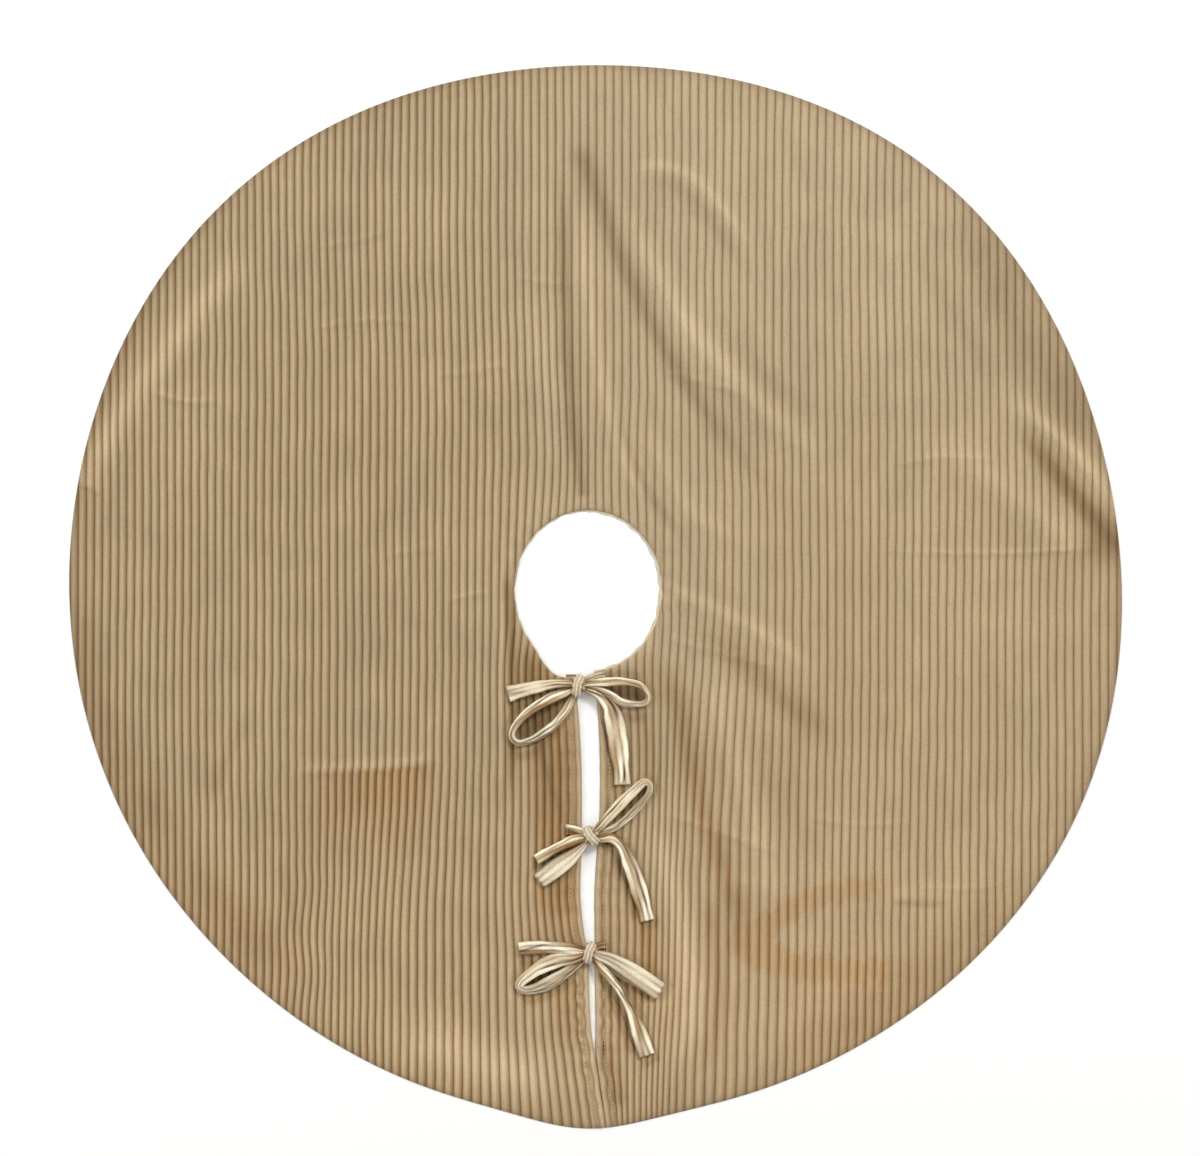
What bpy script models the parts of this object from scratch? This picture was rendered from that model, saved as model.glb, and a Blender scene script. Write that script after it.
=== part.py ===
"""Round tree skirt in wide-wale velvet, 48 in nominal, lying flat.

Metres, +Z up.  The floor is z = 0, the origin is the middle of the skirt's
outline on the floor, and the slit runs from the hole towards -Y.

The skirt is two cloth circles, a ribbed velvet face and a plain lining, sewn
round the rim and turned.  A slit from the hole to the rim lets it go round a
trunk, and three pairs of self-fabric ties close it with bows.  To open it, the
two sides of the slit fold back like lapels, so the cloth is cut here along the
two fold lines, and each tie's loop and tail lifts off the cloth by its knot.
"""
import math

import bmesh
import bpy
from mathutils import Matrix, Vector

# ---------------------------------------------------------------- dimensions
RIM_R = 0.6104            # mean radius of the finished circle (48 in nominal)
RIM_C = (0.0008, 0.0110)  # its centre, before the outline is centred
# hand-cut circle: (lobes, height, direction of a lobe in degrees)
RIM_LOBES = ((2, 0.0023, 136.0), (3, 0.0028, 36.0), (4, 0.0032, 52.0), (5, 0.0028, 52.0))
CORNER_DROP = 0.013       # the slit's two corners hang a little past the circle
CORNER_AT = 269.0
CORNER_W = 7.5

HOLE_C = (-0.0092, 0.0058)
HOLE_A = 0.0855           # half width of the trunk hole
HOLE_B = 0.0930           # half height
HOLE_PINCH = 0.012        # the hole runs down into the slit
HOLE_PINCH_AT = 250.0
HOLE_PINCH_W = 16.0

# slit, from the hole to the rim: (y, left edge x, right edge x)
SLIT = (
    (-0.060, -0.0235, -0.0030),
    (-0.110, -0.0222, -0.0005),
    (-0.150, -0.0190, 0.0030),
    (-0.200, -0.0165, 0.0045),
    (-0.250, -0.0162, 0.0040),
    (-0.300, -0.0168, 0.0005),
    (-0.345, -0.0180, -0.0020),
    (-0.390, -0.0135, -0.0015),
    (-0.410, -0.0094, -0.0020),
    (-0.470, -0.0072, -0.0010),
    (-0.505, -0.0050, -0.0008),
    (-0.525, -0.0020, -0.0010),
    (-0.560, 0.0025, 0.0035),
    (-0.600, 0.0085, 0.0095),
    (-0.650, 0.0150, 0.0160),
)

FOLD_LEFT = 215.0         # lapel fold lines, directions from the hole's centre
FOLD_RIGHT = 325.0
GAP = 0.0003              # clearance between cloth layers and neighbours

HEM = 0.012               # width of the turned hem and of the facing
TUCK = 0.0010             # the lining stops this far short of them
HEM_Z = (0.0002, 0.0010)
LINING_Z = (0.0, 0.0010)
FACE_Z = (0.0013, 0.0035)

TIE_W = 0.020             # finished width of a tie
TIE_T = 0.0026            # thickness of a flattened tie
LOOP_T = 0.0022
STUB_W = 0.012
STUB_Z = (0.0038, 0.0064)
SEW_IN = 0.014            # how far onto the hem a tie is sewn
KNOT_R = (0.0105, 0.0115, 0.0074)
KNOT_Z = 0.0115
HINGE_S = 0.012           # ribbon hinge, distance from the knot's centre
HINGE_Z = 0.0115
START_S = 0.014           # where the ribbon starts
PINCH = 0.21              # half width over distance from the knot

# bows: knot centre, then the four ribbons.
# tail: (kind, first direction, points after the start as (x, y) from the knot)
# ring loop: (kind, direction, length, half width)
# flat loop: (kind, direction, length, half width at the end)
BOWS = {
    "top": {
        "knot": (-0.0208, -0.1028),
        "left_tail": ("tail", 187.0, ((-0.040, -0.004), (-0.062, -0.008), (-0.0815, -0.0098))),
        "left_loop": ("ring", 221.5, 0.090, 0.0150),
        "right_loop": ("ring", -5.0, 0.0845, 0.0140),
        "right_tail": ("tail", -40.0, ((0.029, -0.021), (0.040, -0.038), (0.045, -0.062),
                                       (0.0475, -0.088), (0.0490, -0.113))),
    },
    "middle": {
        "knot": (-0.0058, -0.2761),
        "left_tail": ("tail", 196.0, ((-0.034, -0.009), (-0.050, -0.018), (-0.0640, -0.0262))),
        "left_loop": ("flat", 226.0, 0.0760, 0.0115),
        "right_loop": ("ring", 42.0, 0.0915, 0.0110),
        "right_tail": ("tail", -8.0, ((0.032, -0.010), (0.044, -0.026), (0.055, -0.058),
                                      (0.0650, -0.0990))),
    },
    "bottom": {
        "knot": (-0.0076, -0.4101),
        "left_tail": ("tail", 177.0, ((-0.042, 0.002), (-0.062, 0.003), (-0.0820, 0.0035))),
        "left_loop": ("ring", 208.0, 0.0900, 0.0110),
        "right_loop": ("flat", -27.0, 0.0950, 0.0125),
        "right_tail": ("tail", -57.0, ((0.022, -0.033), (0.036, -0.060), (0.050, -0.090),
                                       (0.0610, -0.1200))),
    },
}
TAIL_W = {"top_right_tail": 0.0200, "middle_right_tail": 0.0180, "middle_left_tail": 0.0160}

COLOURS = {
    "face": (0.403, 0.296, 0.178),
    "lining": (0.560, 0.480, 0.370),
    "hem": (0.430, 0.320, 0.200),
    "facing": (0.640, 0.560, 0.440),
    "tie": (0.560, 0.450, 0.300),
}


# ---------------------------------------------------------------- outlines
def smooth_row(table, y, col):
    """Cubic through the table's rows, read at y (rows run downwards)."""
    n = len(table)
    if y >= table[0][0]:
        return table[0][col]
    if y <= table[-1][0]:
        return table[-1][col]
    i = 0
    while not (table[i][0] >= y >= table[i + 1][0]):
        i += 1
    def slope(k):
        a, b = max(k - 1, 0), min(k + 1, n - 1)
        return (table[b][col] - table[a][col]) / (table[b][0] - table[a][0])
    y0, y1 = table[i][0], table[i + 1][0]
    h = y1 - y0
    t = (y - y0) / h
    p0, p1, m0, m1 = table[i][col], table[i + 1][col], slope(i) * h, slope(i + 1) * h
    return ((2 * t**3 - 3 * t**2 + 1) * p0 + (t**3 - 2 * t**2 + t) * m0
            + (-2 * t**3 + 3 * t**2) * p1 + (t**3 - t**2) * m1)


def wrap(d):
    return (d + 180.0) % 360.0 - 180.0


def rim_radius(a):
    deg = math.degrees(a)
    r = RIM_R
    for n, h, at in RIM_LOBES:
        r += h * math.cos(math.radians(n * (deg - at)))
    return r + CORNER_DROP * math.exp(-(wrap(deg - CORNER_AT) / CORNER_W) ** 2)


def hole_radius(a):
    deg = math.degrees(a)
    r = 1.0 / math.sqrt((math.cos(a) / HOLE_A) ** 2 + (math.sin(a) / HOLE_B) ** 2)
    return r + HOLE_PINCH * math.exp(-(wrap(deg - HOLE_PINCH_AT) / HOLE_PINCH_W) ** 2)


class Ring:
    """A closed curve given by its radius about a centre, moved out by off."""
    def __init__(self, centre, radius, off=0.0):
        self.c, self.f, self.off = centre, radius, off

    def at(self, a):
        r = self.f(a) + self.off
        return (self.c[0] + r * math.cos(a), self.c[1] + r * math.sin(a))

    def outside(self, p):
        dx, dy = p[0] - self.c[0], p[1] - self.c[1]
        return math.hypot(dx, dy) - self.f(math.atan2(dy, dx)) - self.off

    def angle(self, p):
        return math.atan2(p[1] - self.c[1], p[0] - self.c[0])


class Fold:
    """A straight fold line out of the hole's centre, moved sideways by off."""
    def __init__(self, deg, off):
        a = math.radians(deg)
        self.u = (math.cos(a), math.sin(a))
        self.n = (-self.u[1], self.u[0])
        self.off = off
        self.lo, self.hi = 0.02, 0.80

    def at(self, t):
        return (HOLE_C[0] + t * self.u[0] + self.off * self.n[0],
                HOLE_C[1] + t * self.u[1] + self.off * self.n[1])

    def between(self, t0, t1):
        return []


class SlitEdge:
    """One edge of the slit, moved off the gap by off."""
    def __init__(self, side, off=0.0):
        self.col = 1 if side == "left" else 2
        self.sign = -1.0 if side == "left" else 1.0
        self.off = off
        self.lo, self.hi = 0.060, 0.650

    def at(self, t):
        return (smooth_row(SLIT, -t, self.col) + self.sign * self.off, -t)

    def between(self, t0, t1):
        step = 0.014
        lo, hi = min(t0, t1), max(t0, t1)
        grid = [k * step for k in range(int(lo / step), int(hi / step) + 2)]
        pts = [self.at(t) for t in grid if lo + 0.15 * step < t < hi - 0.15 * step]
        return pts if t1 > t0 else list(reversed(pts))


def meet(edge, ring):
    """Where an edge that runs outwards crosses a ring."""
    lo, hi = edge.lo, edge.hi
    for _ in range(60):
        mid = 0.5 * (lo + hi)
        if ring.outside(edge.at(mid)) < 0.0:
            lo = mid
        else:
            hi = mid
    return 0.5 * (lo + hi)


def arc(ring, p0, p1, step_deg):
    """Points strictly between p0 and p1, counter-clockwise round the ring."""
    a0, a1 = ring.angle(p0), ring.angle(p1)
    while a1 <= a0:
        a1 += 2.0 * math.pi
    step = math.radians(step_deg)
    first = math.floor(a0 / step) + 1
    grid = [k * step for k in range(first, first + int(2.0 * math.pi / step) + 2)]
    return [ring.at(a) for a in grid if a0 + 0.15 * step < a < a1 - 0.15 * step]


def patch(outer, inner, edge_a, edge_b, step_out=4.0, step_in=8.0):
    """Outline between two rings and two edges; edge_a comes first, counter-clockwise."""
    ao, bo = meet(edge_a, outer), meet(edge_b, outer)
    ai, bi = meet(edge_a, inner), meet(edge_b, inner)
    pts = [edge_a.at(ao)] + arc(outer, edge_a.at(ao), edge_b.at(bo), step_out)
    pts += [edge_b.at(bo)] + edge_b.between(bo, bi) + [edge_b.at(bi)]
    pts += list(reversed(arc(inner, edge_a.at(ai), edge_b.at(bi), step_in)))
    pts += [edge_a.at(ai)] + edge_a.between(ai, ao)
    return pts


# the outline's middle is put at the origin
def outline_shift():
    ring = Ring(RIM_C, rim_radius)
    pts = [ring.at(math.radians(k * 0.5)) for k in range(720)]
    xs, ys = [p[0] for p in pts], [p[1] for p in pts]
    return (-0.5 * (min(xs) + max(xs)), -0.5 * (min(ys) + max(ys)))


SHIFT = outline_shift()


# ---------------------------------------------------------------- meshes
def clear():
    for ob in list(bpy.data.objects):
        bpy.data.objects.remove(ob, do_unlink=True)
    for block in (bpy.data.meshes, bpy.data.materials):
        for item in list(block):
            block.remove(item)


def material(name, colour, roughness):
    m = bpy.data.materials.new(name)
    m.use_nodes = True
    b = m.node_tree.nodes["Principled BSDF"]
    b.inputs["Base Color"].default_value = (*colour, 1.0)
    b.inputs["Roughness"].default_value = roughness
    b.inputs["Metallic"].default_value = 0.0
    m.diffuse_color = (*colour, 1.0)
    return m


def body(name, pivot, parent=None):
    """An empty on a joint's axis; its pieces hang under it."""
    e = bpy.data.objects.new(name, None)
    bpy.context.scene.collection.objects.link(e)
    e.empty_display_size = 0.03
    if parent is not None:
        e.parent = parent[0]
        e.location = pivot - parent[1]
    else:
        e.location = pivot
    return (e, pivot)


def add(name, bm, owner, kind):
    """One named piece from a bmesh in pattern coordinates."""
    bmesh.ops.recalc_face_normals(bm, faces=bm.faces)
    if bm.calc_volume(signed=True) < 0.0:
        bmesh.ops.reverse_faces(bm, faces=bm.faces)
    bm.transform(Matrix.Translation(Vector((SHIFT[0], SHIFT[1], 0.0)) - owner[1]))
    me = bpy.data.meshes.new(name)
    bm.to_mesh(me)
    bm.free()
    me.materials.append(material(name, COLOURS[kind], 0.85))
    ob = bpy.data.objects.new(name, me)
    bpy.context.scene.collection.objects.link(ob)
    ob.parent = owner[0]
    return ob


def plate(pts, z):
    """A flat cloth piece: its outline, extruded through its thickness."""
    bm = bmesh.new()
    face = bm.faces.new([bm.verts.new((x, y, z[0])) for x, y in pts])
    out = bmesh.ops.extrude_face_region(bm, geom=[face])
    up = [v for v in out["geom"] if isinstance(v, bmesh.types.BMVert)]
    bmesh.ops.translate(bm, verts=up, vec=(0.0, 0.0, z[1] - z[0]))
    return bm


def spline(points, n):
    """Points at even parameter along a smooth curve through the given ones."""
    out = []
    m = len(points)
    for k in range(n + 1):
        u = (m - 1) * k / n
        i = min(int(u), m - 2)
        t = u - i
        p = [points[max(i - 1, 0)], points[i], points[i + 1], points[min(i + 2, m - 1)]]
        q = []
        for c in range(len(points[0])):
            a, b, d, e = (p[j][c] for j in range(4))
            q.append(0.5 * (2 * b + (d - a) * t + (2 * a - 5 * b + 4 * d - e) * t * t
                            + (3 * b - a - 3 * d + e) * t**3))
        out.append(tuple(q))
    return out


def strip(path, across, half_w, half_t):
    """A ribbon of rectangular section swept along path.

    across is the direction of its width at each point."""
    bm = bmesh.new()
    rings = []
    n = len(path)
    for i in range(n):
        p = Vector(path[i])
        t = (Vector(path[min(i + 1, n - 1)]) - Vector(path[max(i - 1, 0)])).normalized()
        w = Vector(across[i])
        w = (w - t * w.dot(t)).normalized()
        nrm = t.cross(w).normalized()
        a, b = half_w[i], half_t
        rings.append([bm.verts.new(p + w * sa * a + nrm * sb * b)
                      for sa, sb in ((-1, -1), (1, -1), (1, 1), (-1, 1))])
    for r0, r1 in zip(rings, rings[1:]):
        for k in range(4):
            bm.faces.new((r0[k], r0[(k + 1) % 4], r1[(k + 1) % 4], r1[k]))
    bm.faces.new(list(reversed(rings[0])))
    bm.faces.new(rings[-1])
    return bm


def ease(x, lo, hi):
    t = min(max((x - lo) / (hi - lo), 0.0), 1.0)
    return t * t * (3.0 - 2.0 * t)


def tail(knot, first_deg, via, width):
    """A flat ribbon end, narrow at the knot, lying down on the cloth."""
    a = math.radians(first_deg)
    pts = [(START_S * math.cos(a), START_S * math.sin(a)),
           (0.024 * math.cos(a), 0.024 * math.sin(a))] + list(via)
    path = spline(pts, 12)
    out, across, half = [], [], []
    for i, (x, y) in enumerate(path):
        x1, y1 = path[min(i + 1, len(path) - 1)]
        x0, y0 = path[max(i - 1, 0)]
        d = math.hypot(x1 - x0, y1 - y0)
        across.append((-(y1 - y0) / d, (x1 - x0) / d, 0.0))
        s = math.hypot(x, y)
        z = 0.0098 - 0.0018 * ease(s, 0.014, 0.036) - 0.0028 * ease(s, 0.034, 0.058)
        out.append((knot[0] + x, knot[1] + y, z))
        half.append(min(width / 2.0, PINCH * s))
    return strip(out, across, half, TIE_T / 2.0)


def ring_loop(knot, deg, length, half_width):
    """A ribbon bent back to the knot, standing on its edge, open inside."""
    a = math.radians(deg)
    ux, uy = math.cos(a), math.sin(a)
    n, u0 = 22, 0.072
    path, across, half = [], [], []
    for k in range(n + 1):
        u = u0 + (1.0 - 2.0 * u0) * k / n
        s = START_S + (length - 0.0015 - START_S) * (1.0 - math.cos(2 * math.pi * u)) / 2.0
        side = half_width * math.sin(2 * math.pi * u) * abs(math.sin(math.pi * u)) ** 0.6
        low = 0.0073 - 0.0030 * ease(s, 0.036, 0.060)
        h = 0.0019 + 0.0034 * ease(s, 0.018, 0.050)
        path.append((knot[0] + s * ux - side * uy, knot[1] + s * uy + side * ux, low + h))
        across.append((0.0, 0.0, 1.0))
        half.append(h)
    return strip(path, across, half, LOOP_T / 2.0)


def flat_loop(knot, deg, length, half_width):
    """A ribbon folded back on itself, its two layers lying flat."""
    a = math.radians(deg)
    ux, uy = math.cos(a), math.sin(a)
    end = length
    top, low = [], []
    for k in range(9):
        s = START_S + (end - 0.0030 - START_S) * k / 8.0
        top.append((s, 0.0102 + 0.0010 * math.sin(math.pi * k / 8.0)))
        low.append((s, 0.0078 - 0.0024 * ease(s, 0.036, 0.056)))
    ze, zt = low[-1][1], top[-1][1]
    mid, r = 0.5 * (ze + zt), 0.5 * (zt - ze)
    turn = [(end - 0.0030 + 0.0030 * math.sin(b), mid + r * math.cos(b))
            for b in (math.radians(x) for x in (36, 72, 108, 144))]
    sz = top + turn + list(reversed(low))
    path, across, half = [], [], []
    for s, z in sz:
        path.append((knot[0] + s * ux, knot[1] + s * uy, z))
        across.append((-uy, ux, 0.0))
        half.append(min(half_width, PINCH * s))
    return strip(path, across, half, 0.0010)


def tie_root(side, knot):
    """The sewn-down stub of a tie and its half of the knot, as one body."""
    sign = -1.0 if side == "left" else 1.0
    bm = bmesh.new()
    bmesh.ops.create_uvsphere(bm, u_segments=20, v_segments=11, radius=1.0)
    bm.transform(Matrix.Translation((knot[0], knot[1], KNOT_Z)) @ Matrix.Diagonal((*KNOT_R, 1.0)))
    cut = knot[0] + sign * GAP / 2.0
    geom = bm.verts[:] + bm.edges[:] + bm.faces[:]
    out = bmesh.ops.bisect_plane(bm, geom=geom, plane_co=(cut, 0.0, 0.0),
                                 plane_no=(-sign, 0.0, 0.0), clear_outer=True)
    rim = [e for e in out["geom_cut"] if isinstance(e, bmesh.types.BMEdge)]
    bmesh.ops.holes_fill(bm, edges=rim, sides=0)
    bmesh.ops.recalc_face_normals(bm, faces=bm.faces)

    edge_x = smooth_row(SLIT, knot[1], 1 if side == "left" else 2)
    far = edge_x + sign * SEW_IN
    near = knot[0] + sign * 0.0020
    x0, x1 = min(far, near), max(far, near)
    y0, y1 = knot[1] - STUB_W / 2.0, knot[1] + STUB_W / 2.0
    stub = plate([(x0, y0), (x1, y0), (x1, y1), (x0, y1)], STUB_Z)
    bmesh.ops.recalc_face_normals(stub, faces=stub.faces)
    return bm, stub


def union(name, bm_a, bm_b, owner, kind):
    """Join two closed meshes into one body with a Boolean."""
    for bm in (bm_a, bm_b):
        if bm.calc_volume(signed=True) < 0.0:
            bmesh.ops.reverse_faces(bm, faces=bm.faces)
        bm.transform(Matrix.Translation(Vector((SHIFT[0], SHIFT[1], 0.0)) - owner[1]))
    me_a, me_b = bpy.data.meshes.new(name), bpy.data.meshes.new(name + "_stub")
    bm_a.to_mesh(me_a)
    bm_b.to_mesh(me_b)
    bm_a.free()
    bm_b.free()
    me_a.materials.append(material(name, COLOURS[kind], 0.85))
    ob = bpy.data.objects.new(name, me_a)
    guide = bpy.data.objects.new(name + "_stub", me_b)
    for o in (ob, guide):
        bpy.context.scene.collection.objects.link(o)
        o.parent = owner[0]
    guide.hide_render = True
    guide.display_type = 'WIRE'
    mod = ob.modifiers.new("sewn_stub", 'BOOLEAN')
    mod.operation = 'UNION'
    mod.solver = 'EXACT'
    mod.object = guide
    return ob


# ---------------------------------------------------------------- assembly
def pivot_on_fold(deg):
    a = math.radians(deg)
    return Vector((HOLE_C[0] + 0.30 * math.cos(a) + SHIFT[0],
                   HOLE_C[1] + 0.30 * math.sin(a) + SHIFT[1], FACE_Z[1]))


def ribbon_pivot(knot, deg):
    a = math.radians(deg)
    return Vector((knot[0] + HINGE_S * math.cos(a) + SHIFT[0],
                   knot[1] + HINGE_S * math.sin(a) + SHIFT[1], HINGE_Z))


def build():
    clear()
    hole = lambda off=0.0: Ring(HOLE_C, hole_radius, off)
    rim = lambda off=0.0: Ring(RIM_C, rim_radius, off)
    half = GAP / 2.0
    inset = HEM + TUCK

    skirt = body("skirt", Vector((0.0, 0.0, 0.0)))
    left = body("left_flap", pivot_on_fold(FOLD_LEFT), skirt)
    right = body("right_flap", pivot_on_fold(FOLD_RIGHT), skirt)

    # the fold's normal points counter-clockwise
    sectors = (
        ("", skirt, Fold(FOLD_RIGHT, half), Fold(FOLD_LEFT, -half), None),
        ("left_", left, Fold(FOLD_LEFT, half), None, "left"),
        ("right_", right, None, Fold(FOLD_RIGHT, -half), "right"),
    )
    for prefix, owner, edge_a, edge_b, slit in sectors:
        def edges(off):
            a = edge_a if edge_a is not None else SlitEdge("right", off)
            b = edge_b if edge_b is not None else SlitEdge("left", off)
            return a, b
        a, b = edges(0.0)
        add(prefix + "face_panel", plate(patch(rim(), hole(), a, b), FACE_Z), owner, "face")
        add(prefix + "rim_hem", plate(patch(rim(), rim(-HEM), a, b, 4.0, 4.0), HEM_Z), owner, "hem")
        a, b = edges(inset)
        add(prefix + "lining_panel", plate(patch(rim(-inset), hole(inset), a, b), LINING_Z),
            owner, "lining")
        add(prefix + "collar_facing", plate(patch(hole(HEM), hole(), a, b, 8.0, 8.0), HEM_Z),
            owner, "facing")
        if slit == "left":
            add("left_slit_hem", plate(patch(rim(-inset), hole(), SlitEdge("left", HEM),
                                             SlitEdge("left", 0.0)), HEM_Z), owner, "hem")
        if slit == "right":
            add("right_slit_hem", plate(patch(rim(-inset), hole(), SlitEdge("right", 0.0),
                                              SlitEdge("right", HEM)), HEM_Z), owner, "hem")

    for bow, spec in BOWS.items():
        knot = spec["knot"]
        for side, owner in (("left", left), ("right", right)):
            knot_half, stub = tie_root(side, knot)
            union(bow + "_" + side + "_tie", knot_half, stub, owner, "tie")
            for part in ("loop", "tail"):
                kind, deg = spec[side + "_" + part][:2]
                name = bow + "_" + side + "_" + part
                hinge = body(name + "_hinge", ribbon_pivot(knot, deg), owner)
                if kind == "tail":
                    bm = tail(knot, deg, spec[side + "_" + part][2], TAIL_W.get(name, TIE_W))
                elif kind == "ring":
                    bm = ring_loop(knot, deg, *spec[side + "_" + part][2:])
                else:
                    bm = flat_loop(knot, deg, *spec[side + "_" + part][2:])
                add(name, bm, hinge, "tie")


build()
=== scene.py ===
"""Looks of the ribbed velvet tree skirt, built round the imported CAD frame."""
import math

import bpy
import numpy as np
from mathutils import Matrix, Vector


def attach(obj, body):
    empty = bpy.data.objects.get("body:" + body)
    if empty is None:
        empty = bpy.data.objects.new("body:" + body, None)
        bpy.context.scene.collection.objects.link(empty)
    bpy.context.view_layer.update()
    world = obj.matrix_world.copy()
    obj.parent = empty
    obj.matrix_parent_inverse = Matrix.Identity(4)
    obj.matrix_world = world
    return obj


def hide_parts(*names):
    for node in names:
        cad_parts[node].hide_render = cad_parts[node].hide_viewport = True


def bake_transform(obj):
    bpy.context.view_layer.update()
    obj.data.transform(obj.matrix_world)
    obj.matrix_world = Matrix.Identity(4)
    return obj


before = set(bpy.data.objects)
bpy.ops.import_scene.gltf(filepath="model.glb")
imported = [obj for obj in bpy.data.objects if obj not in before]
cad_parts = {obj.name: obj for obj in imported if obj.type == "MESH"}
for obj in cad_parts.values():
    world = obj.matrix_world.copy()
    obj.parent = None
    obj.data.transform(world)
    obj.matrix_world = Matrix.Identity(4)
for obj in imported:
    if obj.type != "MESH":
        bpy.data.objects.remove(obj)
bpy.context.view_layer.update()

# ---------------------------------------------------------------- the pattern
# the same outline as the CAD part, in metres, before it is centred
RIM_R, RIM_C = 0.6104, (0.0008, 0.0110)
RIM_LOBES = ((2, 0.0023, 136.0), (3, 0.0028, 36.0), (4, 0.0032, 52.0), (5, 0.0028, 52.0))
CORNER_DROP, CORNER_AT, CORNER_W = 0.013, 269.0, 7.5
HOLE_C, HOLE_A, HOLE_B = (-0.0092, 0.0058), 0.0855, 0.0930
HOLE_PINCH, HOLE_PINCH_AT, HOLE_PINCH_W = 0.012, 250.0, 16.0
SLIT = (
    (-0.060, -0.0235, -0.0030), (-0.110, -0.0222, -0.0005), (-0.150, -0.0190, 0.0030),
    (-0.200, -0.0165, 0.0045), (-0.250, -0.0162, 0.0040), (-0.300, -0.0168, 0.0005),
    (-0.345, -0.0180, -0.0020), (-0.390, -0.0135, -0.0015), (-0.410, -0.0094, -0.0020),
    (-0.470, -0.0072, -0.0010), (-0.505, -0.0050, -0.0008), (-0.525, -0.0020, -0.0010),
    (-0.560, 0.0025, 0.0035), (-0.600, 0.0085, 0.0095), (-0.650, 0.0150, 0.0160),
)
KNOTS = {"top": (-0.0208, -0.1028), "middle": (-0.0058, -0.2761), "bottom": (-0.0076, -0.4101)}


def smooth_row(y, col):
    n = len(SLIT)
    if y >= SLIT[0][0]:
        return SLIT[0][col]
    if y <= SLIT[-1][0]:
        return SLIT[-1][col]
    i = 0
    while not (SLIT[i][0] >= y >= SLIT[i + 1][0]):
        i += 1

    def slope(k):
        a, b = max(k - 1, 0), min(k + 1, n - 1)
        return (SLIT[b][col] - SLIT[a][col]) / (SLIT[b][0] - SLIT[a][0])
    h = SLIT[i + 1][0] - SLIT[i][0]
    t = (y - SLIT[i][0]) / h
    p0, p1, m0, m1 = SLIT[i][col], SLIT[i + 1][col], slope(i) * h, slope(i + 1) * h
    return ((2 * t**3 - 3 * t**2 + 1) * p0 + (t**3 - 2 * t**2 + t) * m0
            + (-2 * t**3 + 3 * t**2) * p1 + (t**3 - t**2) * m1)


_ys = np.linspace(-0.66, -0.05, 900)
_sl = {s: np.array([smooth_row(y, 1 if s == "left" else 2) for y in _ys]) for s in ("left", "right")}


def slit_x(side, y):
    """The slit's edge; below its open part the two hems lie against each other."""
    shut = np.clip((-y - 0.520) / 0.022, 0.0, 1.0)
    right = np.interp(y, _ys, _sl["right"])
    if side == "right":
        return right - 0.00015 * shut
    left = np.interp(y, _ys, _sl["left"])
    return left + (right - 0.00025 - left) * shut * shut * (3.0 - 2.0 * shut)


def rim_r(a):
    deg = np.degrees(a)
    r = np.full_like(deg, RIM_R)
    for n, h, at in RIM_LOBES:
        r = r + h * np.cos(np.radians(n * (deg - at)))
    w = (deg - CORNER_AT + 180.0) % 360.0 - 180.0
    return r + CORNER_DROP * np.exp(-(w / CORNER_W) ** 2)


def hole_r(a):
    deg = np.degrees(a)
    r = 1.0 / np.sqrt((np.cos(a) / HOLE_A) ** 2 + (np.sin(a) / HOLE_B) ** 2)
    w = (deg - HOLE_PINCH_AT + 180.0) % 360.0 - 180.0
    return r + HOLE_PINCH * np.exp(-(w / HOLE_PINCH_W) ** 2)


_a = np.radians(np.arange(0.0, 360.0, 0.05))
_rim = np.stack([RIM_C[0] + rim_r(_a) * np.cos(_a), RIM_C[1] + rim_r(_a) * np.sin(_a)], 1)
_hole = np.stack([HOLE_C[0] + hole_r(_a) * np.cos(_a), HOLE_C[1] + hole_r(_a) * np.sin(_a)], 1)
SHIFT = (-0.5 * (_rim[:, 0].min() + _rim[:, 0].max()), -0.5 * (_rim[:, 1].min() + _rim[:, 1].max()))


def side_of(curve, upper):
    """y of a closed curve's upper or lower side as a function of x."""
    i0, i1 = int(np.argmin(curve[:, 0])), int(np.argmax(curve[:, 0]))
    n = len(curve)
    if upper:      # from the right end counter-clockwise to the left end
        idx = [(i1 + k) % n for k in range((i0 - i1) % n + 1)][::-1]
    else:
        idx = [(i0 + k) % n for k in range((i1 - i0) % n + 1)]
    xs, ys = curve[idx, 0], curve[idx, 1]
    keep = np.concatenate([[True], np.diff(np.maximum.accumulate(xs)) > 0])
    xs, ys = xs[keep], ys[keep]
    return lambda x: np.interp(x, xs, ys)


rim_top, rim_bot = side_of(_rim, True), side_of(_rim, False)
hole_top, hole_bot = side_of(_hole, True), side_of(_hole, False)
HOLE_L, HOLE_RT = _hole[:, 0].min(), _hole[:, 0].max()
RIM_L, RIM_RT = _rim[:, 0].min(), _rim[:, 0].max()
HOLE_LY, HOLE_RY = _hole[np.argmin(_hole[:, 0]), 1], _hole[np.argmax(_hole[:, 0]), 1]
RIM_LY, RIM_RY = _rim[np.argmin(_rim[:, 0]), 1], _rim[np.argmax(_rim[:, 0]), 1]


def d_rim(x, y):
    dx, dy = x - RIM_C[0], y - RIM_C[1]
    return rim_r(np.arctan2(dy, dx)) - np.hypot(dx, dy)


def d_hole(x, y):
    dx, dy = x - HOLE_C[0], y - HOLE_C[1]
    return np.hypot(dx, dy) - hole_r(np.arctan2(dy, dx))


def d_slit(x, y):
    left = slit_x("left", y) - x
    right = x - slit_x("right", y)
    return np.where(y < -0.03, np.maximum(left, right), 1.0)


def smooth(x, lo, hi):
    t = np.clip((x - lo) / (hi - lo), 0.0, 1.0)
    return t * t * (3.0 - 2.0 * t)


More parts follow.
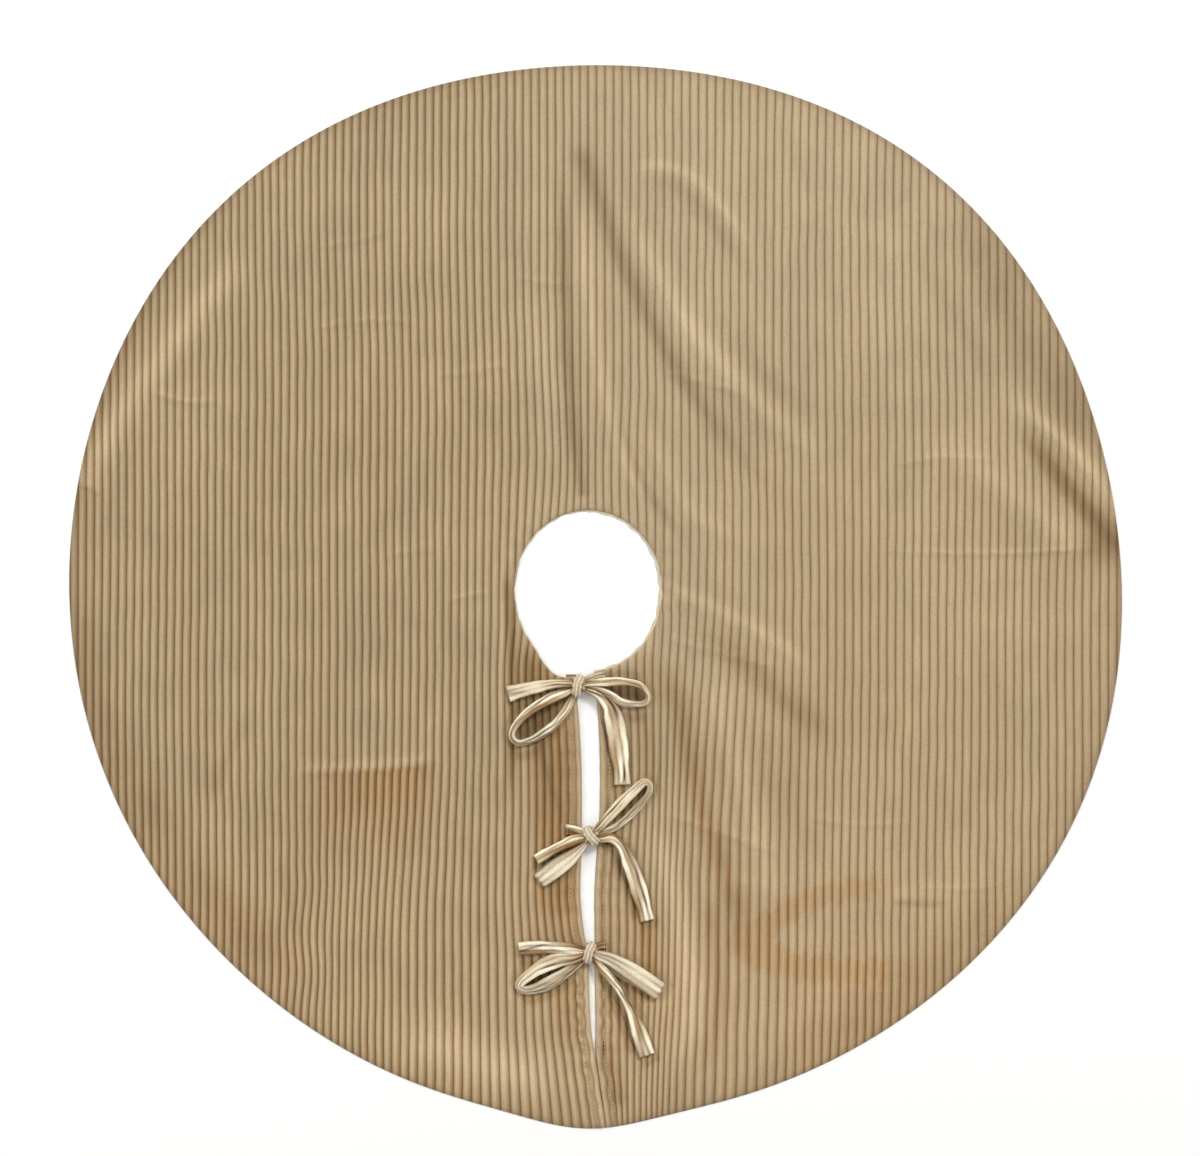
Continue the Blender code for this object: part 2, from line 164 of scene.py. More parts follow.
# ---------------------------------------------------------------- folds and nap
def dist_line(x, y, pts):
    """Distance to a polyline, signed distance (positive to its left), and place along it 0..1."""
    best = np.full(x.shape, 9.0)
    sign = np.zeros(x.shape)
    along = np.zeros(x.shape)
    lens = [math.dist(a, b) for a, b in zip(pts, pts[1:])]
    total, run = sum(lens), 0.0
    for (ax, ay), (bx, by), ln in zip(pts, pts[1:], lens):
        ux, uy = (bx - ax) / ln, (by - ay) / ln
        t = np.clip((x - ax) * ux + (y - ay) * uy, 0.0, ln)
        qx, qy = x - ax - t * ux, y - ay - t * uy
        d = np.hypot(qx, qy)
        m = d < best
        best = np.where(m, d, best)
        sign = np.where(m, np.sign(ux * qy - uy * qx), sign)
        along = np.where(m, (run + t) / total, along)
        run += ln
    return best, best * sign, along


def near_line(x, y, pts, reach):
    """dist_line for the points within reach of the line only: (which, d, signed d, along)."""
    lo = np.min(pts, axis=0) - reach
    hi = np.max(pts, axis=0) + reach
    k = np.nonzero((x > lo[0]) & (x < hi[0]) & (y > lo[1]) & (y < hi[1]))[0]
    if len(k) == 0:
        return k, None, None, None
    return (k, *dist_line(x[k], y[k], pts))


def curve(pts, n=10):
    """A smooth polyline through a few points."""
    out = []
    m = len(pts)
    for k in range(n * (m - 1) + 1):
        u = k / n
        i = min(int(u), m - 2)
        t = u - i
        p = [pts[max(i - 1, 0)], pts[i], pts[i + 1], pts[min(i + 2, m - 1)]]
        out.append(tuple(0.5 * (2 * p[1][c] + (p[2][c] - p[0][c]) * t
                                + (2 * p[0][c] - 5 * p[1][c] + 4 * p[2][c] - p[3][c]) * t * t
                                + (3 * p[1][c] - p[0][c] - 3 * p[2][c] + p[3][c]) * t**3)
                         for c in range(len(pts[0]))))
    return out


LAY = 0.0011553      # one unit of the layout grid that the folds are drawn on, in metres


def lay(*pts):
    """Layout-grid points as pattern metres."""
    return tuple(((a - 596.0) * LAY, (596.0 - b) * LAY) for a, b in pts)


# folds drawn as strokes: line, half width in grid units, tone, warmth, height in mm, fade in, fade out. Their tone and
# warmth are mostly painted shade in the valleys and under the ties, and painted highlight on the ridges.
STROKES = (
    # the fan of folds that runs up from the hole: painted shade in its valleys, painted highlight on its ridges
    (lay((576, 138), (596, 192), (618, 252), (648, 318), (678, 372), (720, 432), (768, 486), (828, 528)), 10, -0.20, 0.34, 0.0, 0.06, 0.55),
    (lay((628, 205), (654, 270), (694, 336), (744, 390), (804, 444), (850, 474)), 12, 0.13, -0.10, 6.5, 0.20, 0.40),
    (lay((700, 300), (740, 352), (790, 400), (850, 436)), 14, -0.06, 0.06, 0.0, 0.40, 0.40),
    (lay((579, 190), (587, 288), (596, 360), (616, 430), (634, 476), (652, 512)), 9, 0.14, -0.08, 4.6, 0.25, 0.10),
    (lay((562, 150), (564, 264), (568, 360), (574, 432), (583, 500)), 7, -0.19, 0.34, 0.0, 0.30, 0.02),
    (lay((606, 385), (622, 432), (640, 478), (666, 518), (700, 556)), 6, -0.15, 0.20, 0.0, 0.35, 0.30),
    (lay((640, 420), (664, 470), (700, 520), (760, 548)), 8, 0.06, 0.0, 3.0, 0.30, 0.40),
    (lay((545, 130), (541, 250), (546, 380), (556, 490)), 15, 0.05, -0.10, 2.4, 0.30, 0.15),
    (lay((624, 170), (666, 167), (702, 186), (732, 222), (764, 262)), 5, 0.12, -0.05, 2.0, 0.20, 0.30),
    (lay((632, 186), (668, 184), (697, 204), (724, 240), (752, 280)), 8, -0.10, 0.08, 0.0, 0.25, 0.30),
    (lay((760, 180), (830, 222), (900, 252), (950, 262)), 18, 0.04, 0.0, 2.0, 0.40, 0.40),
    # the right-hand side, where the cloth was tucked under: painted shade below the tucks and in the valleys, painted
    # highlight on the ridges
    (lay((950, 195), (990, 275), (1034, 352), (1080, 420), (1110, 470)), 27, -0.15, 0.26, 0.0, 0.25, 0.20),
    (lay((1000, 395), (1050, 432), (1096, 478), (1124, 518)), 9, 0.15, -0.10, 7.0, 0.35, 0.0),
    (lay((1006, 418), (1042, 458), (1082, 506), (1124, 556)), 9, -0.40, 0.95, 0.0, 0.45, 0.10),
    (lay((905, 436), (968, 466), (1028, 506), (1084, 560)), 15, 0.09, -0.04, 4.5, 0.35, 0.10),
    (lay((900, 240), (946, 300), (980, 360), (1010, 400)), 12, -0.07, 0.10, 0.0, 0.40, 0.40),
    # right of the hole and beside the slit: painted shade in the valleys, painted highlight on the ridges
    (lay((664, 586), (716, 610), (776, 642), (836, 694)), 7, 0.12, 0.0, 2.6, 0.10, 0.40),
    (lay((684, 622), (744, 664), (792, 708), (852, 752)), 14, -0.14, 0.44, 0.0, 0.30, 0.35),
    (lay((666, 655), (686, 740), (706, 820), (730, 890), (750, 942)), 12, -0.14, 0.58, 0.0, 0.15, 0.15),
    (lay((706, 664), (732, 745), (752, 820), (772, 890), (780, 930)), 12, 0.10, -0.06, 3.4, 0.25, 0.30),
    (lay((770, 760), (800, 820), (820, 880)), 12, -0.04, 0.10, 0.0, 0.40, 0.40),
    (lay((652, 822), (670, 880), (686, 950), (690, 1020), (668, 1080)), 12, 0.20, -0.20, 1.8, 0.15, 0.25),
    (lay((640, 690), (650, 760), (655, 800)), 9, -0.08, 0.30, 0.0, 0.30, 0.30),
    (lay((634, 868), (646, 930), (652, 1000)), 8, -0.14, 0.70, 0.0, 0.25, 0.30),
    (lay((704, 880), (716, 950), (716, 1020), (700, 1080)), 9, -0.08, 0.40, 0.0, 0.25, 0.30),
    (lay((612, 700), (622, 780), (622, 830)), 8, -0.14, 0.50, 0.0, 0.20, 0.20),
    # left of the slit: warm darker pile, partly painted shade from the ties, with painted shade and highlight along the
    # folds
    (lay((536, 640), (548, 720), (552, 800), (556, 870), (560, 930)), 22, -0.14, 0.66, 0.0, 0.12, 0.15),
    (lay((507, 560), (511, 640), (513, 700), (512, 760), (508, 820)), 5, -0.30, 0.50, 0.0, 0.15, 0.35),
    (lay((499, 560), (502, 660), (503, 760)), 5, 0.08, 0.0, 2.2, 0.25, 0.40),
    (lay((526, 640), (532, 700), (546, 770), (566, 832)), 4, -0.24, 0.40, 0.0, 0.20, 0.30),
    (lay((519, 700), (524, 760), (528, 840), (530, 920)), 5, 0.06, -0.20, 1.4, 0.20, 0.30),
    (lay((560, 960), (566, 1010), (560, 1060)), 16, -0.08, 0.40, 0.0, 0.30, 0.35),
    # painted shadows under and inside the bows
    (lay((512, 707), (536, 704), (566, 698)), 6, -0.30, 0.50, 0.0, 0.05, 0.10),
    (lay((518, 738), (534, 724), (556, 706)), 8, -0.34, 0.50, 0.0, 0.15, 0.15),
    (lay((604, 676), (624, 674), (644, 680)), 5, -0.20, 0.40, 0.0, 0.10, 0.20),
    (lay((606, 696), (624, 697), (642, 696)), 7, -0.34, 0.40, 0.0, 0.05, 0.10),
    (lay((644, 712), (634, 718), (622, 712)), 5, -0.22, 0.30, 0.0, 0.10, 0.20),
    (lay((607, 716), (613, 750), (612, 794)), 4, -0.26, 0.40, 0.0, 0.10, 0.10),
    (lay((508, 742), (518, 756), (540, 748), (560, 726)), 4, -0.22, 0.30, 0.0, 0.15, 0.15),
    (lay((614, 820), (632, 804), (652, 790)), 4, -0.26, 0.40, 0.0, 0.15, 0.15),
    (lay((542, 868), (560, 856), (578, 846)), 4, -0.28, 0.50, 0.0, 0.10, 0.15),
    (lay((612, 856), (628, 890), (636, 922)), 4, -0.26, 0.50, 0.0, 0.10, 0.10),
    (lay((640, 926), (650, 926), (660, 920)), 3, -0.20, 0.40, 0.0, 0.10, 0.10),
    (lay((518, 962), (540, 962), (570, 958)), 5, -0.34, 0.45, 0.0, 0.05, 0.15),
    (lay((524, 984), (536, 976), (560, 966)), 5, -0.34, 0.45, 0.0, 0.10, 0.10),
    (lay((516, 998), (534, 1000), (556, 990), (576, 974)), 4, -0.24, 0.40, 0.0, 0.15, 0.15),
    (lay((612, 966), (630, 984), (650, 1000)), 6, -0.36, 0.60, 0.0, 0.15, 0.10),
    (lay((604, 986), (618, 1014), (634, 1056)), 4, -0.24, 0.45, 0.0, 0.15, 0.10),
    (lay((640, 1064), (650, 1062), (660, 1056)), 3, -0.20, 0.40, 0.0, 0.10, 0.10),
    # a pressed line that runs on from the mark's upper arm, with painted shade under it and painted highlight above it,
    # and light about the mark
    (lay((890, 903), (920, 904), (952, 904)), 3, -0.15, 0.20, 0.0, 0.10, 0.30),
    (lay((890, 893), (925, 893), (965, 894)), 7, 0.07, 0.0, 1.2, 0.10, 0.40),
    (lay((706, 884), (745, 880), (786, 890)), 9, 0.06, -0.05, 0.8, 0.30, 0.30),
    (lay((800, 1000), (850, 996), (905, 1000)), 9, -0.05, 0.12, 0.0, 0.30, 0.30),
    # the lower edge and the left-hand rim, with a painted sheen highlight along the left-hand rim and painted shade
    # beside it
    (lay((380, 1012), (440, 1044), (500, 1066), (572, 1084)), 24, 0.19, -0.25, 1.2, 0.35, 0.20),
    (lay((598, 1030), (610, 1072), (620, 1108)), 10, -0.16, 0.42, 0.0, 0.30, 0.10),
    (lay((236, 178), (164, 268), (112, 366), (82, 450)), 12, -0.10, 0.05, 0.0, 0.20, 0.20),
    (lay((250, 250), (186, 330), (132, 402), (84, 486)), 14, 0.17, -0.12, 3.6, 0.25, 0.0),
    (lay((76, 560), (94, 690), (148, 806), (230, 912), (330, 1004)), 20, -0.09, 0.20, 0.0, 0.20, 0.20),
    (lay((204, 812), (226, 760), (250, 712)), 8, -0.07, 0.16, 0.0, 0.30, 0.30),
    (lay((280, 850), (290, 900), (302, 950)), 7, -0.08, 0.12, 1.0, 0.30, 0.30),
    (lay((760, 1066), (860, 1014), (960, 938), (1036, 848)), 22, -0.07, 0.20, 0.0, 0.25, 0.25),
    (lay((240, 460), (340, 456), (440, 452)), 30, -0.03, 0.02, 0.0, 0.40, 0.40),
    (lay((880, 600), (960, 640), (1060, 640)), 50, 0.03, 0.02, 1.5, 0.40, 0.40),
)
# faint lines across the ribs where the cloth was packed: points, half width, height, tone; the tone paints a highlight
# along each crease and shade just below it
CREASES = (
    (((0.074, 0.262), (0.120, 0.250), (0.180, 0.233)), 0.0045, 0.0016, 0.10),
    (((0.316, 0.055), (0.455, 0.051), (0.594, 0.058)), 0.0040, 0.0012, 0.13),
    (((-0.342, 0.308), (-0.261, 0.321), (-0.192, 0.316)), 0.0042, 0.0013, 0.10),
    (((-0.192, 0.255), (-0.140, 0.262), (-0.088, 0.270)), 0.0042, 0.0014, 0.10),
    (((-0.250, 0.047), (-0.215, 0.054), (-0.178, 0.058)), 0.0042, 0.0012, 0.09),
    (((-0.180, -0.005), (-0.150, 0.002), (-0.120, 0.007)), 0.0042, 0.0012, 0.10),
    (((0.074, -0.247), (0.143, -0.270), (0.224, -0.299)), 0.0048, 0.0016, 0.10),
    (((-0.330, 0.404), (-0.280, 0.412), (-0.226, 0.430)), 0.0042, 0.0012, 0.09),
    (((-0.100, 0.372), (-0.050, 0.362), (-0.012, 0.366)), 0.0042, 0.0012, 0.08),
    (((0.060, -0.040), (0.130, -0.060), (0.230, -0.085)), 0.0046, 0.0014, 0.08),
    (((0.330, 0.150), (0.400, 0.162), (0.470, 0.158)), 0.0042, 0.0012, 0.08),
    (((-0.520, 0.240), (-0.470, 0.226), (-0.430, 0.230)), 0.0050, 0.0016, 0.12),
    (((0.350, -0.331), (0.420, -0.336), (0.480, -0.330)), 0.0036, 0.0010, 0.09),
    (((0.236, -0.250), (0.300, -0.262), (0.370, -0.258)), 0.0040, 0.0010, 0.07),
)


def edge_dark(x, y, pts, depth):
    """A patch that starts sharply under a line and fades away downwards."""
    xs, ys = [p[0] for p in pts], [p[1] for p in pts]
    low = np.interp(x, xs, ys) - y
    span = (x - xs[0]) / (xs[-1] - xs[0])
    lean = span + 0.10 * low / depth          # it drifts left lower down
    fade = smooth(lean, 0.0, 0.55) * (1.0 - smooth(lean, 0.88, 1.06))
    return fade * smooth(low, -0.001, 0.0014) * np.exp(-(np.maximum(low, 0.0) / depth) ** 2)


def rnd_field(x, y, scale, seed):
    """A smooth seeded field in about -1..1."""
    rng = np.random.default_rng(seed)
    out = np.zeros(x.shape)
    for k in range(7):
        a = rng.uniform(0, 2 * math.pi)
        f = rng.uniform(0.6, 1.6) / scale
        p, q = rng.uniform(0, 2 * math.pi, 2)
        out += np.sin(2 * math.pi * f * (x * math.cos(a) + y * math.sin(a)) + p + 1.1 * np.sin(2 * math.pi * 0.4 * f * (x * math.sin(a) - y * math.cos(a)) + q))
    return out / 3.2


def fold_height(x, y):
    """How far the cloth stands off the floor, in metres, never below zero."""
    f = 0.0011 * (1.0 + rnd_field(x, y, 0.30, 11)) + 0.0005 * (1.0 + rnd_field(x, y, 0.11, 12))
    dents = np.zeros(x.shape)
    for pts, w, tone, _, h, e0, e1 in STROKES:
        k, d, sd, al = near_line(x, y, curve(pts, 5), 3.2 * w * LAY)
        if len(k) == 0:
            continue
        fade = smooth(al, 0.0, max(e0, 1e-6)) * (1.0 - smooth(al, 1.0 - max(e1, 1e-6), 1.0))
        if h > 0.0:
            f[k] += 0.001 * h * fade * np.exp(-(d / (1.15 * w * LAY)) ** 2)
        elif tone < 0.0 and w < 16:
            dents[k] = np.maximum(dents[k], min(1.0, -4.0 * tone) * fade * np.exp(-(d / (0.9 * w * LAY)) ** 2))
    f = f * (1.0 - 0.62 * dents)
    for pts, w, h, _ in CREASES:
        k, d, s, al = near_line(x, y, curve(pts, 4), 4.0 * w)
        if len(k) == 0:
            continue
        fade = smooth(al, 0.0, 0.25) * (1.0 - smooth(al, 0.75, 1.0))
        f[k] += h * fade * np.exp(-((s + 0.5 * w) / w) ** 2)
    # the dark patch's sharp upper edge is a low step
    d, s, al = dist_line(x, y, curve(PATCH_EDGE, 4))
    fade = smooth(al, 0.0, 0.2) * (1.0 - smooth(al, 0.85, 1.0))
    f = f + 0.0028 * fade * np.exp(-((s - 0.004) / 0.006) ** 2)
    # lower at the rim, quieter where the bows lie
    f = f * (0.25 + 0.75 * smooth(d_rim(x, y), 0.0, 0.035))
    near_slit = np.exp(-((x + 0.008) / 0.085) ** 2) * smooth(-y, 0.07, 0.10)
    f = f * (1.0 - 0.55 * near_slit)
    # ripples along the slit's hems
    ds = np.maximum(d_slit(x, y), 0.0)
    rip = 0.0009 * np.exp(-(ds / 0.035) ** 2) * (1.0 + np.sin(2 * math.pi * y / 0.031 + 3.0 * np.sin(y * 37.0)))
    f = f + np.where(y < -0.09, rip, 0.0)
    # puckers round the hole's upper edge
    dh = np.maximum(d_hole(x, y), 0.0)
    ang = np.arctan2(y - HOLE_C[1], x - HOLE_C[0])
    f = f + 0.0009 * np.exp(-((dh - 0.008) / 0.009) ** 2) * (1.0 + np.sin(23 * ang + 1.7 * np.sin(5 * ang)))
    return np.maximum(f, 0.0)


PATCH_EDGE = ((-0.356, -0.207), (-0.300, -0.203), (-0.240, -0.200), (-0.182, -0.192))
MARK_UPPER = ((0.176, -0.402), (0.204, -0.375), (0.250, -0.350), (0.300, -0.338), (0.338, -0.334))
MARK_LOWER = ((0.172, -0.398), (0.200, -0.418), (0.250, -0.430), (0.310, -0.434), (0.352, -0.430))


def nap(x, y):
    """(tone, warmth): where the pile lies darker or lighter, where it shows its warm ground, and painted shade and
    highlight along folds, creases and the rim and under the ties.
    """
    tone = 0.035 * rnd_field(x, y, 0.22, 21) + 0.02 * rnd_field(x, y, 0.07, 22)
    warm = np.zeros(x.shape)
    for pts, w, t, wm, h, e0, e1 in STROKES:
        k, d, sd, al = near_line(x, y, curve(pts, 5), 3.2 * w * LAY)
        if len(k) == 0:
            continue
        g = np.exp(-(d / (w * LAY)) ** 2)
        g = g * smooth(al, 0.0, max(e0, 1e-6)) * (1.0 - smooth(al, 1.0 - max(e1, 1e-6), 1.0))
        tone[k] += 1.45 * t * g
        warm[k] += wm * g
    for pts, w, h, t in CREASES:
        k, d, s, al = near_line(x, y, curve(pts, 4), 4.0 * w)
        if len(k) == 0:
            continue
        fade = smooth(al, 0.0, 0.3) * (1.0 - smooth(al, 0.7, 1.0))
        tone[k] += fade * t * (np.exp(-(s / (0.45 * w)) ** 2) - 0.5 * np.exp(-((s + 1.1 * w) / (0.7 * w)) ** 2))
    g = edge_dark(x, y, PATCH_EDGE, 0.080)
    tone += -0.07 * g
    warm += 0.70 * g
    # the pale step just above it, a painted highlight along the step's top
    d, s, al = dist_line(x, y, curve(PATCH_EDGE, 4))
    fade = smooth(al, 0.0, 0.2) * (1.0 - smooth(al, 0.85, 1.0))
    tone += 0.12 * fade * np.exp(-((s - 0.006) / 0.006) ** 2)
    # a brushed mark open to the right
    c = np.zeros(x.shape)
    rib_no = np.floor((x - SPLIT_X) / PITCH["right"])
    ragged = 0.0042 * np.sin(rib_no * 2.4 + 1.0) + 0.0024 * np.sin(x * 2 * math.pi / 0.0059)
    for pts, w in ((MARK_UPPER, 0.0128), (MARK_LOWER, 0.0155)):
        d, s, al = dist_line(x, y + ragged, curve(pts, 5))
        wide = w * (1.0 + 0.45 * (1.0 - smooth(al, 0.0, 0.35)))
        c = np.maximum(c, (1.0 - smooth(d, 0.75 * wide, 1.12 * wide)) * (1.0 - 0.85 * smooth(al, 0.80, 1.0)))
    c = c * (0.86 + 0.14 * np.sin(rib_no * 1.9))
    tone += -0.06 * c
    warm += 0.98 * c
    # the pile shows more of its warm ground towards the slit and the lower rim; the spots beside the top bow and below
    # the right-hand tuck are painted shade
    for cx, cy, rx, ry, a, b in (
            (-0.045, -0.190, 0.040, 0.110, -0.04, 0.30), (-0.040, -0.350, 0.035, 0.070, -0.06, 0.45),
            (-0.420, -0.380, 0.120, 0.070, -0.02, 0.10), (0.050, -0.430, 0.060, 0.070, -0.02, 0.18),
            (0.585, 0.060, 0.022, 0.024, -0.26, 0.55), (0.060, -0.090, 0.020, 0.025, -0.10, 0.40),
            (-0.075, -0.080, 0.016, 0.040, -0.16, 0.40), (0.300, -0.150, 0.120, 0.090, 0.01, 0.10),
            (-0.480, 0.210, 0.060, 0.050, 0.04, -0.05), (0.240, 0.200, 0.120, 0.090, -0.02, 0.0)):
        g = np.exp(-(((x - cx) / rx) ** 2 + ((y - cy) / ry) ** 2))
        tone += a * g
        warm += b * g
    warm += 0.10 + 0.16 * smooth(-y, 0.10, 0.50) - 0.10 * smooth(y, 0.15, 0.50)
    low_right = smooth(x, 0.05, 0.28) * smooth(0.32 - y, 0.0, 0.30)
    warm += 0.20 * low_right
    tone += 0.005 * low_right
    # painted shade just inside the rolled rim
    dr = np.maximum(d_rim(x, y), 0.0)
    tone += -0.22 * np.exp(-(dr / 0.006) ** 2) - 0.08 * np.exp(-(dr / 0.022) ** 2)
    warm += 0.15 * np.exp(-(dr / 0.02) ** 2)
    # where painted shades and dark marks pile up, the tone is lifted and warmed so it goes deep brown and not black
    deep = np.maximum(-0.26 - tone, 0.0)
    tone = tone + 0.58 * deep
    warm = warm + 0.9 * deep
    return tone, np.clip(warm, 0.0, 1.0)


# ---------------------------------------------------------------- the ribbed face
SPLIT_X = HOLE_C[0]                 # a groove up from the hole, where the halves meet
PITCH = {"left": 0.00934, "right": 0.00985}
SLIT_U = {"left": -0.0125, "right": 0.0015}
RIB_H = 0.0019
RIB_F = (0.0, 0.11, 0.29, 0.5, 0.71, 0.89)   # columns across one rib, groove to groove


def rib_shape(f):
    """Height 0..1 across a rib."""
    a = np.abs(2.0 * f - 1.0)
    return np.clip(1.0 - a**3.4, 0.0, 1.0) ** 0.62


def warp_x(side, u, y):
    """Where the cloth's ribs lie: they follow the slit's edge and wander a little."""
    sgn = -1.0 if side == "left" else 1.0
    edge = SLIT_U[side]
    s = np.clip(sgn * (u - edge) / 0.135, 0.0, 1.0)
    w = (1.0 - s) ** 2 * (1.0 + 2.0 * s)
    below = smooth(-y, 0.02, 0.09)
    yy = np.minimum(y, -0.05)
    if side == "left":
        dx = w * (slit_x(side, yy) - edge) * below
    else:
        # lower down the right-hand edge cuts across the ribs and crowds the last few
        upper_edge = slit_x(side, np.maximum(yy, -0.50))
        sl = np.clip(sgn * (u - edge) / 0.046, 0.0, 1.0)
        dx = w * (upper_edge - edge) * below + (1.0 - sl) ** 2 * (1.0 + 2.0 * sl) * (slit_x(side, yy) - upper_edge)
    # the stitched edge is puckered, so its ribs waver
    e = np.maximum(sgn * (u - edge), 0.0)
    amp = 0.00085 * smooth(-y, 0.10, 0.16) * (0.5 + 0.8 * smooth(-y, 0.40, 0.47) * (1.0 - smooth(-y, 0.555, 0.60)))
    dx = dx + amp * np.exp(-(e / 0.021) ** 2) * smooth(e, 0.0, 0.006) * np.sin(2 * math.pi * y / 0.0265 + 2.2 * np.sin(y * 41.0) + 90.0 * e)
    # gathers draw the ribs in above the hole, away from the shared groove
    g = np.exp(-((u - SPLIT_X) / 0.060) ** 2) * np.exp(-((y - 0.15) / 0.07) ** 2)
    dx = dx - (u - SPLIT_X) * 0.16 * g
    calm = 1.0 - np.clip(np.abs(u) / 0.605, 0.0, 1.0) ** 8
    off = np.clip(np.abs(u - SPLIT_X) / 0.05, 0.0, 1.0)
    keep = np.where(y < -0.02, 1.0 - w, off)
    lean = 0.0020 * rnd_field(u, y, 0.50, 31) + 0.00030 * rnd_field(u, y, 0.10, 32)
    if side == "left":
        lean = lean - 0.011 * np.exp(-((u + 0.23) / 0.085) ** 2) * smooth(-y, 0.19, 0.42)
        lean = lean - 0.0012 * np.exp(-((u + 0.26) / 0.10) ** 2) * smooth(-y, 0.196, 0.206)
        lean = lean + 0.0016 * np.exp(-((u + 0.335) / 0.030) ** 2) * np.sin((y + 0.36) * 60.0) * smooth(-y, 0.29, 0.33)
    else:
        lean = lean - 0.020 * np.exp(-((u - 0.125) / 0.075) ** 2) * smooth(-y, -0.04, 0.40)
        lean = lean - 0.006 * np.exp(-((u - 0.30) / 0.16) ** 2) * smooth(-y, -0.10, 0.45)
        lean = lean - 0.007 * np.exp(-((u - 0.085) / 0.055) ** 2) * smooth(-y, 0.40, 0.60)
    return u + dx + lean * calm * keep


def rows_t(n):
    """Places along a column, closer together at both ends."""
    e = np.array([0.0, 0.0022, 0.005, 0.0085, 0.013, 0.019, 0.027])
    mid = np.linspace(0.036, 0.964, n - 2 * len(e))
    return np.concatenate([e, mid, 1.0 - e[::-1]])


def columns(side, per_rib):
    """Material places of the columns, outer edge last, with each one's place in its rib."""
    p = PITCH[side]
    sgn = -1.0 if side == "left" else 1.0
    limit = (RIM_L + 0.0006) if side == "left" else (RIM_RT - 0.0006)
    us, fs = [], []
    k = 0
    while True:
        for f in per_rib:
            u = SPLIT_X + sgn * (k + f) * p
            if sgn * (limit - u) < 0.0004:
                us.append(limit)
                fs.append(f if f > 0 else 0.001)
                return np.array(us), np.array(fs)
            us.append(u)
            # the left-hand flank is always f near 0
            fs.append(f if side == "right" else (1.0 - f if f > 0 else 0.0))
        k += 1


def half_grid(side, per_rib, n_rows, inset=0.0):
    """Vertices and faces of one half of the skirt, as columns along the ribs.

    Returns x, y (flat), rib place, faces.  inset is not used."""
    us, fs = columns(side, per_rib)
    sgn = -1.0 if side == "left" else 1.0
    hole_edge = HOLE_L if side == "left" else HOLE_RT
    k = int(np.argmin(np.abs(us - hole_edge)))
    us[k] = hole_edge
    t = rows_t(n_rows)
    edge_u = SLIT_U[side]
    xs, ys, ff, index = [], [], [], {}
    n_cols = len(us)
    hx, hy = (HOLE_L, HOLE_LY) if side == "left" else (HOLE_RT, HOLE_RY)
    rx, ry = (RIM_L, RIM_LY) if side == "left" else (RIM_RT, RIM_RY)

    def put(x, y, f):
        xs.append(x), ys.append(y), ff.append(f)
        return len(xs) - 1

    upper = [None] * n_cols
    lower = [None] * n_cols
    for j, u in enumerate(us):
        joined = sgn * (u - hole_edge) >= -1e-9
        f = fs[j]
        # upper part, from the hole or the middle line up to the rim
        x_top = float(u)
        for _ in range(4):
            x_top = float(np.clip(warp_x(side, np.array(u), rim_top(x_top)), RIM_L + 1e-4, RIM_RT - 1e-4))
        y_hi = float(rim_top(x_top)) - 0.0005 * float(1.0 - rib_shape(f)) * min(1.0, abs(u) / 0.2)
        if joined:
            m = (u - hx) / (rx - hx)
            y_lo = float(hy + (ry - hy) * m)
        else:
            x_h = float(u)
            for _ in range(4):
                x_h = float(warp_x(side, np.array(u), hole_top(x_h)))
            y_lo = float(hole_top(np.clip(x_h, HOLE_L, HOLE_RT)))
        y = y_lo + (y_hi - y_lo) * (1.0 - t[::-1])
        y = y_lo + (y_hi - y_lo) * t
        x = warp_x(side, np.full(y.shape, u), y)
        upper[j] = [put(a, b, f) for a, b in zip(x, y)]
        # lower part, from the hole or the middle line down to the rim
        if sgn * (u - edge_u) < -1e-9:
            continue
        x_bot = float(u)
        for _ in range(4):
            x_bot = float(np.clip(warp_x(side, np.array(u), rim_bot(x_bot)), RIM_L + 1e-4, RIM_RT - 1e-4))
        y_end = float(rim_bot(x_bot)) + 0.0010 * float(1.0 - rib_shape(f)) * min(1.0, abs(u - edge_u) / 0.03)
        if joined:
            y = y_lo + (y_end - y_lo) * t
            x = warp_x(side, np.full(y.shape, u), y)
            lower[j] = [upper[j][0]] + [put(a, b, f) for a, b in zip(x[1:], y[1:])]
        else:
            x_h = float(u)
            for _ in range(4):
                x_h = float(warp_x(side, np.array(u), hole_bot(x_h)))
            y_st = float(hole_bot(np.clip(x_h, HOLE_L, HOLE_RT)))
            y = y_st + (y_end - y_st) * t
            x = warp_x(side, np.full(y.shape, u), y)
            lower[j] = [put(a, b, f) for a, b in zip(x, y)]
    # the slit's own edge
    first = next(j for j in range(n_cols) if lower[j] is not None)
    u = edge_u
    if abs(us[first] - edge_u) < 0.0009:
        for i, v in enumerate(lower[first]):
            xs[v] = float(slit_x(side, ys[v]))
        edge_col = None
    else:
        x_h = x_b = float(u)
        for _ in range(6):
            x_h = float(slit_x(side, hole_bot(x_h)))
            x_b = float(slit_x(side, rim_bot(x_b)))
        y = float(hole_bot(x_h)) + (float(rim_bot(x_b)) - float(hole_bot(x_h))) * t
        edge_col = [put(float(slit_x(side, b)), b, 0.5) for b in y]
    faces = []

    def quads(a, b):
        for i in range(len(a) - 1):
            q = (a[i], a[i + 1], b[i + 1], b[i])
            faces.append(tuple(dict.fromkeys(q)))

    for j in range(n_cols - 1):
        quads(upper[j], upper[j + 1])
        if lower[j] is not None:
            quads(lower[j + 1], lower[j])
    if edge_col is not None:
        quads(lower[first], edge_col)
    return np.array(xs), np.array(ys), np.array(ff), faces


